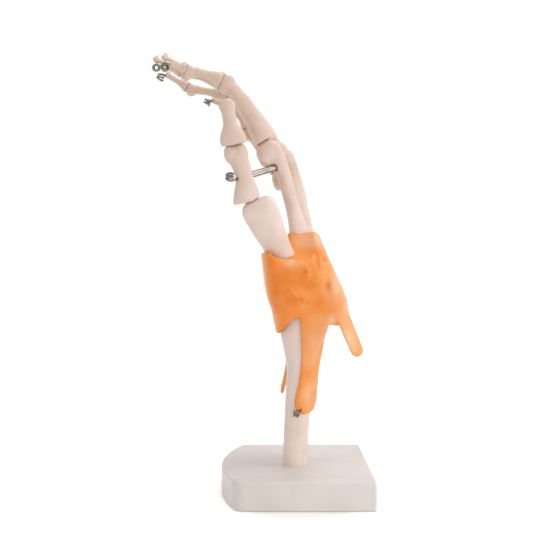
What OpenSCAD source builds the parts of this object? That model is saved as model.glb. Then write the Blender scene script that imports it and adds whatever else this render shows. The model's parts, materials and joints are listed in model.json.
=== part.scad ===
// Life-size right hand joint model: ivory bones strung on steel wire, with elastic ligaments, on a base.
// Seen along +Y the thumb side faces the viewer, the palm faces -X and the back of the hand +X.
// Bones are modelled upright: joint centre at the origin, length along +Z, palm side towards -X.

/* [Base] */
// Length of the base from the palm edge to the straight back edge
base_length = 80; // [70:1:110]
// Width of the base from the thumb side to the little-finger side
base_width = 110; // [90:1:140]
// Thickness of the base
base_height = 15; // [12:0.5:25]
// Radius of the bowed palm edge
base_bow_radius = 160; // [120:5:600]
// Radius of the two corners on the palm edge
base_corner = 6.5; // [3:0.5:20]
// Depth of the sockets that the forearm bones are glued into
socket_depth = 10; // [5:0.5:11]

/* [Forearm] */
// Height of the wrist axis above the floor
wrist_height = 108; // [100:0.5:130]
// Distance of the wrist axis behind the middle of the base
wrist_offset = 7; // [0:0.5:14]
// Radius of the round joint surface of the wrist
wrist_radius = 13; // [11:0.25:15]
// Place of the radius across the base
radius_side = -9; // [-12:0.5:-6]
// Width and depth of the radius where it enters the base
radius_foot = [14, 14.2]; // [8:0.1:18]
// Width and depth of the radius at the wrist
radius_end = [29, 30]; // [20:0.5:36]
// Place of the ulna across the base
ulna_side = 13.5; // [11:0.5:17]
// Width and depth of the ulna where it enters the base
ulna_foot = [12, 11.5]; // [8:0.5:14]
// Width and depth of the ulna at the wrist
ulna_end = [15, 17]; // [10:0.5:19]
// Diameter of the pegs that the forearm bones stand on
peg_diameter = 9; // [5:0.5:10]

/* [Carpals] */
// Lean of the carpal bones towards the palm, degrees
carpal_lean = 12; // [5:0.5:20]
// Gap between neighbouring carpal bones
carpal_gap = 0.5; // [0.3:0.1:0.9]
// Height of the row of carpals next to the forearm
near_row_height = 13.4; // [11:0.2:15]
// Height of the row of carpals next to the palm bones
far_row_height = 16.5; // [12:0.5:20]
// Scaphoid: depth and width
scaphoid = [18, 13]; // [8:0.5:20]
// Lunate: depth and width
lunate = [17, 12.5]; // [8:0.5:20]
// Triquetrum: depth and width
triquetrum = [14, 12]; // [8:0.5:20]
// Pisiform: depth, width and height
pisiform = [7, 9, 10]; // [5:0.5:12]
// Trapezium: depth, width and height
trapezium = [15, 12, 12.8]; // [8:0.5:20]
// Trapezoid: depth and width
trapezoid = [15, 11]; // [8:0.5:20]
// Capitate: depth and width
capitate = [17, 12]; // [8:0.5:20]
// Hamate: depth and width
hamate = [16, 14.5]; // [8:0.5:20]

/* [Thumb] */
// Thumb: distances from joint to joint and to the tip
thumb_bones = [34, 32, 29]; // [12:0.5:60]
// Thumb: lean of each bone towards the palm, degrees
thumb_leans = [23, 12, 10.5]; // [0:0.5:60]
// Thumb: lean of each bone towards the viewer, degrees
thumb_tilts = [19, 3, 2]; // [-10:0.5:40]
// Thumb: sideways step of the second bone along the head of the first
thumb_step = 7; // [0:0.5:8]
// Thumb: radius of the two joint rollers
thumb_rollers = [6.2, 4.8]; // [3:0.1:8]
// Thumb: width and depth of the palm bone at its foot
thumb_foot = [14, 12]; // [8:0.5:17]

/* [Index finger] */
// Index: distances from joint to joint and to the tip
index_bones = [60, 42.5, 21, 16.8]; // [12:0.5:80]
// Index: lean of the palm bone, then the bend at each joint, degrees
index_bends = [18, 13, 42, -6]; // [-30:0.5:90]
// Index: radius of the three joint rollers
index_rollers = [7, 4.3, 3.2]; // [2:0.1:8]
// Index: width and depth of the palm bone at its foot
index_foot = [12.5, 15]; // [7:0.5:16]
// Index: place of the palm bone across the hand, and its splay in degrees
index_place = [-14.6, 4]; // [-20:0.1:20]

/* [Middle finger] */
// Middle: distances from joint to joint and to the tip
middle_bones = [60.5, 46, 23.5, 19.4]; // [12:0.5:80]
// Middle: lean of the palm bone, then the bend at each joint, degrees
middle_bends = [15, 21, 38, -5]; // [-30:0.5:90]
// Middle: radius of the three joint rollers
middle_rollers = [7, 4.4, 3.3]; // [2:0.1:8]
// Middle: width and depth of the palm bone at its foot
middle_foot = [11.5, 15]; // [7:0.5:16]
// Middle: place of the palm bone across the hand, and its splay in degrees
middle_place = [-1.6, 0]; // [-20:0.1:20]

/* [Ring finger] */
// Ring: distances from joint to joint and to the tip
ring_bones = [58, 45, 24.5, 17.5]; // [12:0.5:80]
// Ring: lean of the palm bone, then the bend at each joint, degrees
ring_bends = [12.5, 25, 40.5, -20]; // [-30:0.5:90]
// Ring: radius of the three joint rollers
ring_rollers = [6.5, 4.1, 3.1]; // [2:0.1:8]
// Ring: width and depth of the palm bone at its foot
ring_foot = [10, 13.5]; // [7:0.5:16]
// Ring: place of the palm bone across the hand, and its splay in degrees
ring_place = [9.8, -5]; // [-20:0.1:20]

/* [Little finger] */
// Little: distances from joint to joint and to the tip
little_bones = [50.5, 33, 17, 15]; // [12:0.5:80]
// Little: lean of the palm bone, then the bend at each joint, degrees
little_bends = [12, 24, -5, 33]; // [-30:0.5:90]
// Little: radius of the three joint rollers
little_rollers = [6, 3.7, 2.8]; // [2:0.1:8]
// Little: width and depth of the palm bone at its foot
little_foot = [10, 12.5]; // [7:0.5:16]
// Little: place of the palm bone across the hand, and its splay in degrees
little_place = [20.4, -10]; // [-20:0.1:20]

/* [Joints and wire] */
// Gap between a joint roller and its socket
joint_gap = 0.35; // [0.25:0.05:0.6]
// Gap between the wrist surface and the socket in the radius
wrist_gap = 0.4; // [0.3:0.05:0.8]
// Diameter of the wire that strings the bones
wire = 1.1; // [0.8:0.1:1.4]
// Play of the wire in its bores
wire_play = 0.15; // [0.1:0.05:0.3]
// Middle radius of the loops at the wire ends
loop_radius = 1.9; // [1.6:0.1:2.6]
// Turns in each wire end
loop_turns = 1.75; // [1:0.25:2.75]
// Clear space between the turns of a wire end
loop_space = 0.6; // [0.45:0.05:1]
// Diameter of the tube that spaces the thumb from the index palm bone
tube_diameter = 3.5; // [2.5:0.1:4.5]
// Depth that the tube sits in the index palm bone
tube_seat = 2.5; // [1.5:0.25:3]

/* [Ligaments] */
// Thickness of the ligament sheets
sheet_thick = 2.2; // [1.5:0.1:3]
// Thickness of the ligament straps
strap_thick = 2; // [1.5:0.1:3]
// Width of the thumb-side strap at its loose end
strap_width = 11; // [8:0.5:14]
// Length of the dorsal strap
dorsal_strap_length = 27; // [15:1:45]

/* [Hidden] */

// Colours
ivory = [0.87, 0.79, 0.73];
shell_white = [0.89, 0.86, 0.84];
orange = [0.94, 0.55, 0.28];
steel = [0.72, 0.69, 0.66];

// Fineness of exact round faces, of lofted bones and of swept wire
$fn = 48;
bone_sides = 14;
carpal_sides = 12;
wire_sides = 6;
loop_rings = 24;

// Chain of the digits: thumb 0 to little finger 4
THUMB = 0;
INDEX = 1;
MIDDLE = 2;
RING = 3;
LITTLE = 4;
bones = [thumb_bones, index_bones, middle_bones, ring_bones, little_bones];
rollers = [thumb_rollers, index_rollers, middle_rollers, ring_rollers, little_rollers];
feet = [thumb_foot, index_foot, middle_foot, ring_foot, little_foot];
bends = [[], index_bends, middle_bends, ring_bends, little_bends];
places = [[], index_place, middle_place, ring_place, little_place];
wrist = [wrist_offset, 0, wrist_height];
// Turn that makes the thumb bend across the palm instead of towards it
thumb_twist = -90;
// Place of the thumb's foot joint on the trapezium: towards the palm, across and above it
thumb_seat = [-3.4, 0.7, 2.7];
// How far each palm bone's foot lies behind the carpal axis, and below the level of the others
foot_behind = [0, 1.6, 2, 2, 0.4];
foot_drop = [0, 0, 0, 0, 0.6];

// Levels of the two rows of carpals along the carpal axis, from the wrist axis
near_low = -wrist_radius;
near_high = near_low + near_row_height;
far_low = near_high + carpal_gap;
far_high = far_low + far_row_height;
trapezium_high = far_low + trapezium[2];
foot_level = far_high + carpal_gap;

// Places of the carpals across the hand, chained from the lunate and the capitate
lunate_y = 1;
scaphoid_y = lunate_y - (lunate[1] + scaphoid[1]) / 2 - carpal_gap;
triquetrum_y = lunate_y + (lunate[1] + triquetrum[1]) / 2 + carpal_gap;
capitate_y = 0.5;
trapezoid_y = capitate_y - (capitate[1] + trapezoid[1]) / 2 - carpal_gap;
// The trapezium lies nearer, because it stands towards the palm from its neighbour
trapezium_tuck = 0.9;
trapezium_y = trapezoid_y - (trapezoid[1] + trapezium[1]) / 2 - carpal_gap + trapezium_tuck;
hamate_y = capitate_y + (capitate[1] + hamate[1]) / 2 + carpal_gap;

// Small helpers
function unit(v) = v / norm(v);
function power(c, p) = sign(c) * pow(abs(c), p);
function turn_y(v, a) = [v[0] * cos(a) + v[2] * sin(a), v[1], v[2] * cos(a) - v[0] * sin(a)];
function turn_x(v, a) = [v[0], v[1] * cos(a) - v[2] * sin(a), v[1] * sin(a) + v[2] * cos(a)];
function total(v, last) = last < 0 ? 0 : v[last] + total(v, last - 1);
function on_carpals(v) = wrist + turn_y(v, -carpal_lean);

// Chain of joints: lean and splay of each bone, its direction, and the centre of the joint at its foot
function lean(d, k) = d == THUMB ? thumb_leans[k] : total(bends[d], k);
function splay(d, k) = d == THUMB ? thumb_tilts[k] : places[d][1];
function along(d, k) = turn_x(turn_y([0, 0, 1], -lean(d, k)), splay(d, k));
function behind(d, k) = turn_x(turn_y([1, 0, 0], -lean(d, k)), splay(d, k));
function foot(d) = d == THUMB ? on_carpals(thumb_seat + [trapezium_x, trapezium_y, trapezium_high])
  : on_carpals([foot_behind[d], places[d][0], foot_level - foot_drop[d]]);
function step(d, k) = d == THUMB && k == 1 ? -thumb_step * behind(d, 0) : [0, 0, 0];
function joint(d, k) = k == 0 ? foot(d)
  : joint(d, k - 1) + bones[d][k - 1] * along(d, k - 1) + step(d, k);

// Turns as a bone of the chain is turned
module turned(d, k) {
  rotate([splay(d, k), 0, 0]) rotate([0, -lean(d, k), 0])
    rotate([0, 0, d == THUMB ? thumb_twist : 0]) children();
}

// Puts a bone at its place in the chain
module at_joint(d, k) {
  translate(joint(d, k)) turned(d, k) children();
}

// Puts a joint surface at the foot of a bone, turned with the head of the bone before it
module at_hinge(d, k) {
  translate(joint(d, k)) turned(d, k - 1) children();
}

module at_carpals(v) {
  translate(wrist) rotate([0, -carpal_lean, 0]) translate(v) children();
}

// Solid skin over a stack of rings, each a list of as many points, closed by a fan at both ends
module loft(rings) {
  n = len(rings[0]);
  m = len(rings);
  points = [for (ring = rings) each ring];
  sides = [for (i = [0 : m - 2], j = [0 : n - 1], half = [0, 1])
    let (a = i * n + j, b = i * n + (j + 1) % n)
    half == 0 ? [a, a + n, b] : [b, a + n, b + n]];
  foot_cap = [for (j = [1 : n - 2]) [0, j, j + 1]];
  head_cap = [for (j = [1 : n - 2]) [(m - 1) * n, (m - 1) * n + j + 1, (m - 1) * n + j]];
  polyhedron(points = points, faces = concat(sides, foot_cap, head_cap));
}

// Oval ring of a bone, flatter on the palm side
function oval(centre, w, d, flat, n) = [for (i = [0 : n - 1])
  let (a = 360 * i / n)
  centre + [d / 2 * cos(a) * (cos(a) < 0 ? flat : 1), w / 2 * sin(a), 0]];

// Share of an end's extra width that is left at a distance u from that end
function flare(u) = u >= 1 ? 0 : (1 - u) * (1 - u) * (1 + 2 * u);

// Width and depth of a shaft at a share t of its length
function shaft_size(t, at_foot, at_waist, at_head, foot_reach, head_reach) =
  at_waist + (at_foot - at_waist) * flare(t / foot_reach)
    + (at_head - at_waist) * flare((1 - t) / head_reach);

// Tube-boned shaft from z0 to z1: width and depth at the foot, the waist and the head, with a rounded tip
// past a share of its length where one is asked for
tip_least = 0.45;
module shaft(z0, z1, at_foot, at_waist, at_head, bow = 0, flat = 0.8,
    foot_reach = 0.5, head_reach = 0.45, drift = [0, 0], round_from = 1) {
  steps = [0, 0.03, 0.1, 0.2, 0.32, 0.45, 0.58, 0.7, 0.82, 0.93, 1];
  loft([for (t = steps)
    let (
      past = t > round_from ? (t - round_from) / (1 - round_from) : 0,
      edge = t == 0 ? 0.9 : max(sqrt(1 - past * past), tip_least),
      size = edge * shaft_size(t, at_foot, at_waist, at_head, foot_reach, head_reach)
    )
    oval([bow * sin(180 * t) + drift[0] * t, drift[1] * t, z0 + (z1 - z0) * t],
      size[0], size[1], flat, bone_sides)]);
}

// Roller of a hinge joint across the bone: two round condyles with a shallow groove between them, flat where
// the wire comes out
roller_groove = 0.12;
module roller(r, w) {
  groove = r * roller_groove;
  edge = r * 0.42;
  flat = wire * 0.75;
  rotate([90, 0, 0]) rotate_extrude()
    polygon([
      [0, -w / 2], [r - edge, -w / 2], [r, edge - w / 2], [r, -w / 6], [r - groove, -flat],
      [r - groove, flat], [r, w / 6], [r, w / 2 - edge], [r - edge, w / 2], [0, w / 2]
    ]);
}

// Rounded head of a palm bone, round about the knuckle axis
module knuckle(r, w) {
  intersection() {
    rotate([90, 0, 0]) cylinder(r = r, h = w, center = true);
    rotate([90, 0, 0]) rotate_extrude()
      polygon([
        [0, -w / 2], [r * 0.55, -w / 2], [r * 0.9, -w / 3], [r * 1.1, -w / 6],
        [r * 1.1, w / 6], [r * 0.9, w / 3], [r * 0.55, w / 2], [0, w / 2]
      ]);
  }
}

// Room for a roller in the next bone's foot
module hinge_cut(r) {
  rotate([90, 0, 0]) cylinder(r = r + joint_gap, h = 8 * r, center = true);
}

// Bore and length of wire along a bone
module wire_bore(z0, z1) {
  translate([0, 0, z0]) cylinder(d = wire + 2 * wire_play, h = z1 - z0);
}

module wire_length(z0, z1) {
  translate([0, 0, z0]) cylinder(d = wire, h = z1 - z0);
}

// Bone sizes that follow the joint rollers
palm_bow = [0.14, 0.14, 0.3, 0.3, 0.14];
// How far the shaft of each palm bone lies behind the middle of its head, and the depth of its wire
palm_set = [0, 3.3, 4.8, 3.4, 1.5];
anchor_depth = 13;
finger_bow = 0.28;
// Start of a bone's foot from the joint centre in roller radii: at the knuckles, and beyond them
mouth = [0.95, 0.62, 0.62, 0.62, 0.62];
mouth_open = 0.62;
mouth_wall = 1.1;
wire_inset = 0.1;
bore_past = 1;
thumb_wire_share = 0.7;
function knuckle_width(d) = rollers[d][0] * (d == THUMB ? 2.8 : 1.9);
function roller_width(d, k) = rollers[d][k] * 2.45;
function mouth_size(d, k) = rollers[d][k] * [d == THUMB && k == 1 ? 2.45 : 1.95, 1.55]
  + 2 * mouth_wall * [1, 1];
function palm_waist(d) = rollers[d][0] * (d == THUMB ? [2.15, 1.65] : d == INDEX ? [1.3, 1.2] : [1.3, 1.4]);
function palm_head(d) = d == THUMB ? [knuckle_width(d) * 0.97, rollers[d][0] * 1.75]
  : [knuckle_width(d) * 0.85, rollers[d][0] * 1.3];
function waist_size(d, k) = rollers[d][k] * (d == THUMB ? [1.9, 1.6] : k == 1 ? [2, 2.4] : [1.8, 1.7]);
function anchor_slant(d) = atan(palm_set[d] * 0.8 / anchor_depth);

// Palm bone of one digit
module metacarpal(d) {
  length = bones[d][0];
  r = rollers[d][0];
  at_joint(d, 0) difference() {
    union() {
      shaft(0, length, feet[d], palm_waist(d), palm_head(d), bow = r * palm_bow[d], flat = 0.86,
        head_reach = d == THUMB ? 0.65 : 0.4, drift = [palm_set[d], 0], round_from = 0.9);
      translate([0, 0, length]) knuckle(r, knuckle_width(d));
    }
    at_anchor(d) wire_bore(-anchor_depth - wire_inset, r + bore_past);
  }
}

// Draws along the wire that is held in the head of a palm bone, from the knuckle axis
module at_anchor(d) {
  translate([0, 0, bones[d][0]]) rotate([0, -anchor_slant(d), 0]) children();
}

module anchor_wire(d) {
  at_joint(d, 0) at_anchor(d) wire_length(-anchor_depth, rollers[d][0] - wire_inset);
}

// Finger bone between joint k and the next joint
module phalanx(d, k) {
  length = bones[d][k];
  r0 = rollers[d][k - 1];
  r1 = rollers[d][k];
  head = [roller_width(d, k) * 0.9, r1 * 1.8];
  difference() {
    at_joint(d, k) union() {
      shaft(r0 * (k == 1 ? mouth[d] : mouth_open), length, mouth_size(d, k - 1), waist_size(d, k), head,
        bow = r1 * finger_bow, flat = 0.75);
      translate([0, 0, length]) roller(r1, roller_width(d, k));
    }
    at_hinge(d, k) hinge_cut(r0);
    at_joint(d, k) wire_bore(0, length + r1 + bore_past);
  }
}

// Last bone of a digit, with a flat tuft at its tip
module distal(d, k) {
  length = bones[d][k];
  r = rollers[d][k - 1];
  tuft = r * (d == THUMB ? [1.85, 1.2] : [2.1, 1.1]);
  waist = r * (d == THUMB ? [1.55, 1.4] : [1.45, 1.2]);
  over_loops = tip_back[d] > 0;
  end = over_loops ? length - tip_back[d] - loop_radius - wire / 2 - tip_clear : length;
  difference() {
    at_joint(d, k) union() {
      shaft(r * mouth_open, end, mouth_size(d, k - 1), waist, tuft,
        bow = r * 0.05, flat = 0.8, foot_reach = d == THUMB ? 0.4 : 0.6, head_reach = 0.4, round_from = 0.8);
      if (over_loops) translate([r * tuft_lift, 0, 0])
        shaft(end * 0.45, length, r * [1.4, 0.9], r * [1.7, 0.8], r * [2.1, 0.7],
          drift = [r * tuft_lift, 0], round_from = 0.85);
    }
    at_hinge(d, k) hinge_cut(r);
    at_joint(d, k) if (d == THUMB) wire_bore(0, length * thumb_wire_share);
    else at_tip_wire(d) wire_bore(-length, wire);
  }
}

// Wire inside one finger bone, from joint k to the next, short of both joint faces
module bone_wire(d, k) {
  from = rollers[d][k - 1] + joint_gap + wire_inset;
  to = bones[d][k] + rollers[d][k] * (1 - roller_groove) - wire_inset;
  at_joint(d, k) wire_length(from, to);
}

// Path of a wire end along +Z: a straight stem, then loops beside it that climb along +Y
function loop_path(stem) =
  let (
    rings = loop_turns * loop_rings,
    pitch = wire + loop_space,
    path = [for (i = [0 : rings])
      let (a = 360 * i / loop_rings)
      [loop_radius * (cos(a) - 1), pitch * a / 360, loop_radius * sin(a)]],
    last = path[len(path) - 1],
    way = unit(last - path[len(path) - 2])
  )
  concat([[0, 0, -stem], [0, 0, -wire]], path, [last + wire * way]);

function path_way(path, i) =
  unit(path[min(i + 1, len(path) - 1)] - path[max(i - 1, 0)]);

// Tube swept along a path that never runs along Y
module wire_tube(path) {
  loft([for (i = [0 : len(path) - 1])
    let (
      t = path_way(path, i),
      side = unit(cross(t, [0, 1, 0])),
      up = cross(side, t)
    )
    [for (j = [0 : wire_sides - 1])
      let (a = 360 * j / wire_sides)
      path[i] + wire / 2 * (cos(a) * side - sin(a) * up)]]);
}

// Least clear space between points of a wire end that are over half a turn apart
function self_gap(path) =
  min([for (i = [0 : len(path) - 1], j = [i + loop_rings / 2 : 1 : len(path) - 1])
    norm(path[i] - path[j])]) - wire;
echo("Least gap of a wire end to itself, mm", self_gap(loop_path(wire)));

// Fingertip wires slant through the last bone and come out low on its tip; the loops of two of them start
// before the end of the bone, under its tuft
tip_slant = 6;
tip_out = -wire - 0.3;
tip_back = [0, 3.05, 2.7, tip_out, tip_out];
// The tuft of a tip that reaches over its loops lies this far towards the back, in roller radii
tuft_lift = 0.28;
tip_turns = [0, 15, -15, 65, 80];
tip_clear = 0.25;

// Draws along the slanted wire of a fingertip, from the start of its loops
module at_tip_wire(d) {
  last = len(bones[d]) - 1;
  translate([-tip_drop(d), 0, bones[d][last] - tip_back[d]]) rotate([0, -tip_slant, 0]) children();
}

// How far under the bone's axis the loops start, and the stem that reaches back to the joint face
function tip_drop(d) = 0.3 * rollers[d][len(bones[d]) - 2];
function tip_stem(d) =
  let (last = len(bones[d]) - 1)
  (bones[d][last] - tip_back[d] - rollers[d][last - 1] - joint_gap) / cos(tip_slant) - 2 * wire_inset;

module tip_wire(d) {
  at_joint(d, len(bones[d]) - 1) at_tip_wire(d) rotate([0, 0, tip_turns[d]])
    wire_tube(loop_path(tip_stem(d)));
}

// Base plate: bowed palm edge with round corners, straight back edge
module base_outline() {
  half = base_width / 2;
  bow_centre = [base_bow_radius - base_length / 2, 0];
  inner = base_bow_radius - base_corner;
  across = half - base_corner;
  corner = bow_centre + [-sqrt(inner * inner - across * across), across];
  way = unit(corner - bow_centre);
  reach = 3 * base_corner;
  difference() {
    intersection() {
      translate(bow_centre) circle(r = base_bow_radius, $fn = 360);
      translate([-base_length / 2, -half]) square([base_length, base_width]);
    }
    for (side = [0, 1]) mirror([0, side]) difference() {
      polygon([corner, corner + reach * way, corner + reach * (way + [0, 1]), corner + reach * [0, 1]]);
      translate(corner) circle(r = base_corner);
    }
  }
}

// Feet of the two forearm bones on the base, and how far their wrist ends lie from straight above
radius_at = [-0.1, radius_side];
radius_drift = [wrist_offset - radius_at[0] - 1.6, 0.5];
radius_waist = [12.4, 14.2];
radius_reach = [0.3, 0.45];
// The radius stands straighter near its foot than near the wrist
radius_bow = -0.75;
ulna_at = [1.5, ulna_side];
ulna_waist = [9.6, 10];
ulna_drift = [wrist_offset - ulna_at[0] + 2.5, 1];
peg_play = 0.15;
peg_rise = 6;
// Levels of the wrist ends of the forearm bones: the radius reaches up round the joint, the ulna stops below it
radius_lip = 4;
ulna_short = 3;
radius_top = wrist_height - wrist_radius + radius_lip;
ulna_top = wrist_height - wrist_radius - ulna_short;

module base() {
  color(shell_white) difference() {
    linear_extrude(base_height) base_outline();
    for (at = [radius_at, ulna_at])
      translate([at[0], at[1], base_height - socket_depth])
        cylinder(d = peg_diameter + 2 * peg_play, h = socket_depth + 1);
  }
}

module peg(at) {
  translate([at[0], at[1], base_height - socket_depth])
    cylinder(d = peg_diameter, h = socket_depth + peg_rise);
}

module radius() {
  color(ivory) difference() {
    union() {
      translate([radius_at[0], radius_at[1], 0])
        shaft(base_height, radius_top, radius_foot, radius_waist, radius_end, bow = radius_bow, flat = 0.95,
          foot_reach = radius_reach[0], head_reach = radius_reach[1], drift = radius_drift);
      peg(radius_at);
    }
    translate(wrist) rotate([90, 0, 0])
      cylinder(r = wrist_radius + wrist_gap, h = 2 * base_width, center = true);
    strap_pin_bore();
  }
}

module ulna() {
  color(ivory) union() {
    translate([ulna_at[0], ulna_at[1], 0])
      shaft(base_height, ulna_top, ulna_foot, ulna_waist, ulna_end, flat = 0.95,
        foot_reach = 0.3, head_reach = 0.3, drift = ulna_drift);
    peg(ulna_at);
  }
}

// Rounded block of a carpal bone between two levels
module pebble(depth, width, low, high, squareness = 2.8) {
  levels = [-1, -0.9, -0.55, 0, 0.55, 0.9, 1];
  least = 0.62;
  loft([for (v = levels)
    let (k = abs(v) == 1 ? least : pow(1 - pow(abs(v), squareness), 1 / squareness))
    [for (i = [0 : carpal_sides - 1])
      let (a = 360 * i / carpal_sides)
      [
        k * depth / 2 * power(cos(a), 2 / squareness),
        k * width / 2 * power(sin(a), 2 / squareness),
        (low + high) / 2 + v * (high - low) / 2
      ]]]);
}

// Carpal next to the forearm, rounded about the wrist axis
module near_carpal(size, x, y) {
  color(ivory) at_carpals([0, 0, 0]) intersection() {
    translate([x, y, 0]) pebble(size[0], size[1], near_low - 1, near_high);
    rotate([90, 0, 0]) cylinder(r = wrist_radius, h = 2 * base_width, center = true);
  }
}

module far_carpal(size, x, y, high = far_high) {
  color(ivory) at_carpals([x, y, 0]) pebble(size[0], size[1], far_low, high);
}

// Places of the carpals towards the back of the hand
scaphoid_x = -1;
lunate_x = 0;
triquetrum_x = 0.5;
trapezium_x = -5;
trapezoid_x = 1;
capitate_x = 1.5;
hamate_x = 0;

module scaphoid_bone() near_carpal(scaphoid, scaphoid_x, scaphoid_y);
module lunate_bone() near_carpal(lunate, lunate_x, lunate_y);
module triquetrum_bone() near_carpal(triquetrum, triquetrum_x, triquetrum_y);
module trapezium_bone() far_carpal(trapezium, trapezium_x, trapezium_y, trapezium_high);
module trapezoid_bone() far_carpal(trapezoid, trapezoid_x, trapezoid_y);
module capitate_bone() far_carpal(capitate, capitate_x, capitate_y);
module hamate_bone() far_carpal(hamate, hamate_x, hamate_y);

module pisiform_bone() {
  x = triquetrum_x - (triquetrum[0] + pisiform[0]) / 2 - carpal_gap;
  middle = (near_low + near_high) / 2;
  color(ivory) at_carpals([x, triquetrum_y, middle])
    pebble(pisiform[0], pisiform[1], -pisiform[2] / 2, pisiform[2] / 2);
}

// Palm bones and finger bones
module thumb_metacarpal() color(ivory) metacarpal(THUMB);
module index_metacarpal() color(ivory) difference() {
  metacarpal(INDEX);
  stay_line() translate([0, 0, tube_start]) cylinder(d = tube_diameter + 2 * wire_play, h = stay_reach);
}
module middle_metacarpal() color(ivory) metacarpal(MIDDLE);
module ring_metacarpal() color(ivory) metacarpal(RING);
module little_metacarpal() color(ivory) metacarpal(LITTLE);
module thumb_proximal_phalanx() color(ivory) difference() {
  phalanx(THUMB, 1);
  stay_line() cylinder(d = wire + 2 * wire_play, h = 2 * stay_reach);
}
module index_proximal_phalanx() color(ivory) phalanx(INDEX, 1);
module middle_proximal_phalanx() color(ivory) phalanx(MIDDLE, 1);
module ring_proximal_phalanx() color(ivory) phalanx(RING, 1);
module little_proximal_phalanx() color(ivory) phalanx(LITTLE, 1);
module index_middle_phalanx() color(ivory) phalanx(INDEX, 2);
module middle_middle_phalanx() color(ivory) phalanx(MIDDLE, 2);
module ring_middle_phalanx() color(ivory) phalanx(RING, 2);
module little_middle_phalanx() color(ivory) phalanx(LITTLE, 2);
module thumb_distal_phalanx() color(ivory) distal(THUMB, 2);
module index_distal_phalanx() color(ivory) distal(INDEX, 3);
module middle_distal_phalanx() color(ivory) distal(MIDDLE, 3);
module ring_distal_phalanx() color(ivory) distal(RING, 3);
module little_distal_phalanx() color(ivory) distal(LITTLE, 3);

// Wire in the bones
module metacarpal_wires() color(steel) for (d = [THUMB : LITTLE]) anchor_wire(d);
module thumb_proximal_wire() color(steel) bone_wire(THUMB, 1);
module index_proximal_wire() color(steel) bone_wire(INDEX, 1);
module middle_proximal_wire() color(steel) bone_wire(MIDDLE, 1);
module ring_proximal_wire() color(steel) bone_wire(RING, 1);
module little_proximal_wire() color(steel) bone_wire(LITTLE, 1);
module index_middle_wire() color(steel) bone_wire(INDEX, 2);
module middle_middle_wire() color(steel) bone_wire(MIDDLE, 2);
module ring_middle_wire() color(steel) bone_wire(RING, 2);
module little_middle_wire() color(steel) bone_wire(LITTLE, 2);
module thumb_tip_wire() color(steel) at_joint(THUMB, 2)
  wire_length(thumb_rollers[1] + joint_gap + wire_inset, thumb_bones[2] * thumb_wire_share - wire_inset);
module index_tip_wire() color(steel) tip_wire(INDEX);
module middle_tip_wire() color(steel) tip_wire(MIDDLE);
module ring_tip_wire() color(steel) tip_wire(RING);
module little_tip_wire() color(steel) tip_wire(LITTLE);

// Thumb stay: a wire through the thumb beside its own wire, held off the index palm bone by a tube
stay_down = 8.5;
stay_back = 4;
stay_share = 0.6;
stay_miss = 1.7;
stay_from = joint(INDEX, 1) - stay_down * along(INDEX, 0) + stay_back * behind(INDEX, 0);
thumb_middle = joint(THUMB, 1) + stay_share * bones[THUMB][1] * along(THUMB, 1);
stay_to = thumb_middle + stay_miss * unit(cross(along(THUMB, 1), thumb_middle - stay_from));
stay_reach = norm(stay_to - stay_from);
tube_seat_from = 5.2;
tube_start = tube_seat_from - tube_seat;
tube_end_clear = 5.4;
stay_exit = 7.4;

// Draws along the stay, from the index palm bone towards the thumb
module stay_line() {
  way = unit(stay_to - stay_from);
  translate(stay_from) rotate([0, acos(way[2]), atan2(way[1], way[0])]) children();
}

module thumb_stay_tube() {
  color(steel) stay_line() translate([0, 0, tube_start]) difference() {
    cylinder(d = tube_diameter, h = stay_reach - tube_end_clear - tube_start);
    translate([0, 0, -1]) cylinder(d = wire + 4 * wire_play, h = 2 * stay_reach);
  }
}

module thumb_stay_wire() {
  color(steel) stay_line() translate([0, 0, stay_reach + stay_exit]) rotate([0, 0, 60])
    wire_tube(loop_path(stay_reach + stay_exit - tube_start));
}

// Ligament sheets wrap the carpals. Tables hold a level from the wrist axis and how far the outer face lies
// from that axis towards the palm, the back, the thumb and the little finger
palmar_palm = [[-24, -17], [-16, -18.5], [-9, -20], [-3, -22], [4, -23.4], [11, -24.2], [22, -25.4]];
palmar_back = [[-24, 19], [-10, 21], [-3, 20], [4, 17.5], [11, 14.6], [22, 9.3]];
palmar_thumb = [[-24, -24.5], [-13, -28], [-3, -31.5], [7, -35], [14, -37.5], [22, -38.5]];
dorsal_palm = [[-18, -17.5], [-9, -20], [-3, -22], [4, -23.4], [11, -24.2], [22, -19], [34, -13]];
dorsal_back = [[-18, 22], [-10, 22.5], [-3, 21], [4, 18], [11, 14.6], [22, 9.8], [28, 7.5], [34, 5.7]];
dorsal_thumb = [[-24, -24.5], [-13, -28], [-3, -31.5], [7, -35], [14, -35.5], [22, -30], [34, -25]];
little_side = [[-24, 24], [-3, 25.5], [12, 28], [22, 30.5], [34, 32.5]];
// Lower and upper edges of the two sheets, by angle about the wrist from the back of the hand
palmar_low = [[92, -16], [150, -21], [190, -22], [212, -21.8], [235, -19], [252, -15.8], [265.4, -12.8]];
palmar_high = [[92, 18], [180, 21], [200, 21.3], [225, 21.6], [240, 20.4], [255, 18.9], [265.4, 18.3]];
dorsal_low = [[266, -12.8], [274, -13], [280, -16.5], [290, -17.5], [330, -17], [360, -16], [450, -14]];
dorsal_high = [[266, 31], [300, 33], [320, 32.4], [340, 30.4], [360, 29], [450, 28]];
sheet_squareness = 4.2;
sheet_columns = 20;
sheet_levels = 8;

function oval_point(a, z, palm, back, thumb, little, inset) =
  let (
    p = 2 / sheet_squareness,
    x0 = lookup(z, palm),
    x1 = lookup(z, back),
    y0 = lookup(z, thumb),
    y1 = lookup(z, little)
  )
  [
    (x0 + x1) / 2 + ((x1 - x0) / 2 - inset) * power(cos(a), p),
    (y0 + y1) / 2 + ((y1 - y0) / 2 - inset) * power(sin(a), p),
    z
  ] + wrist;

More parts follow.
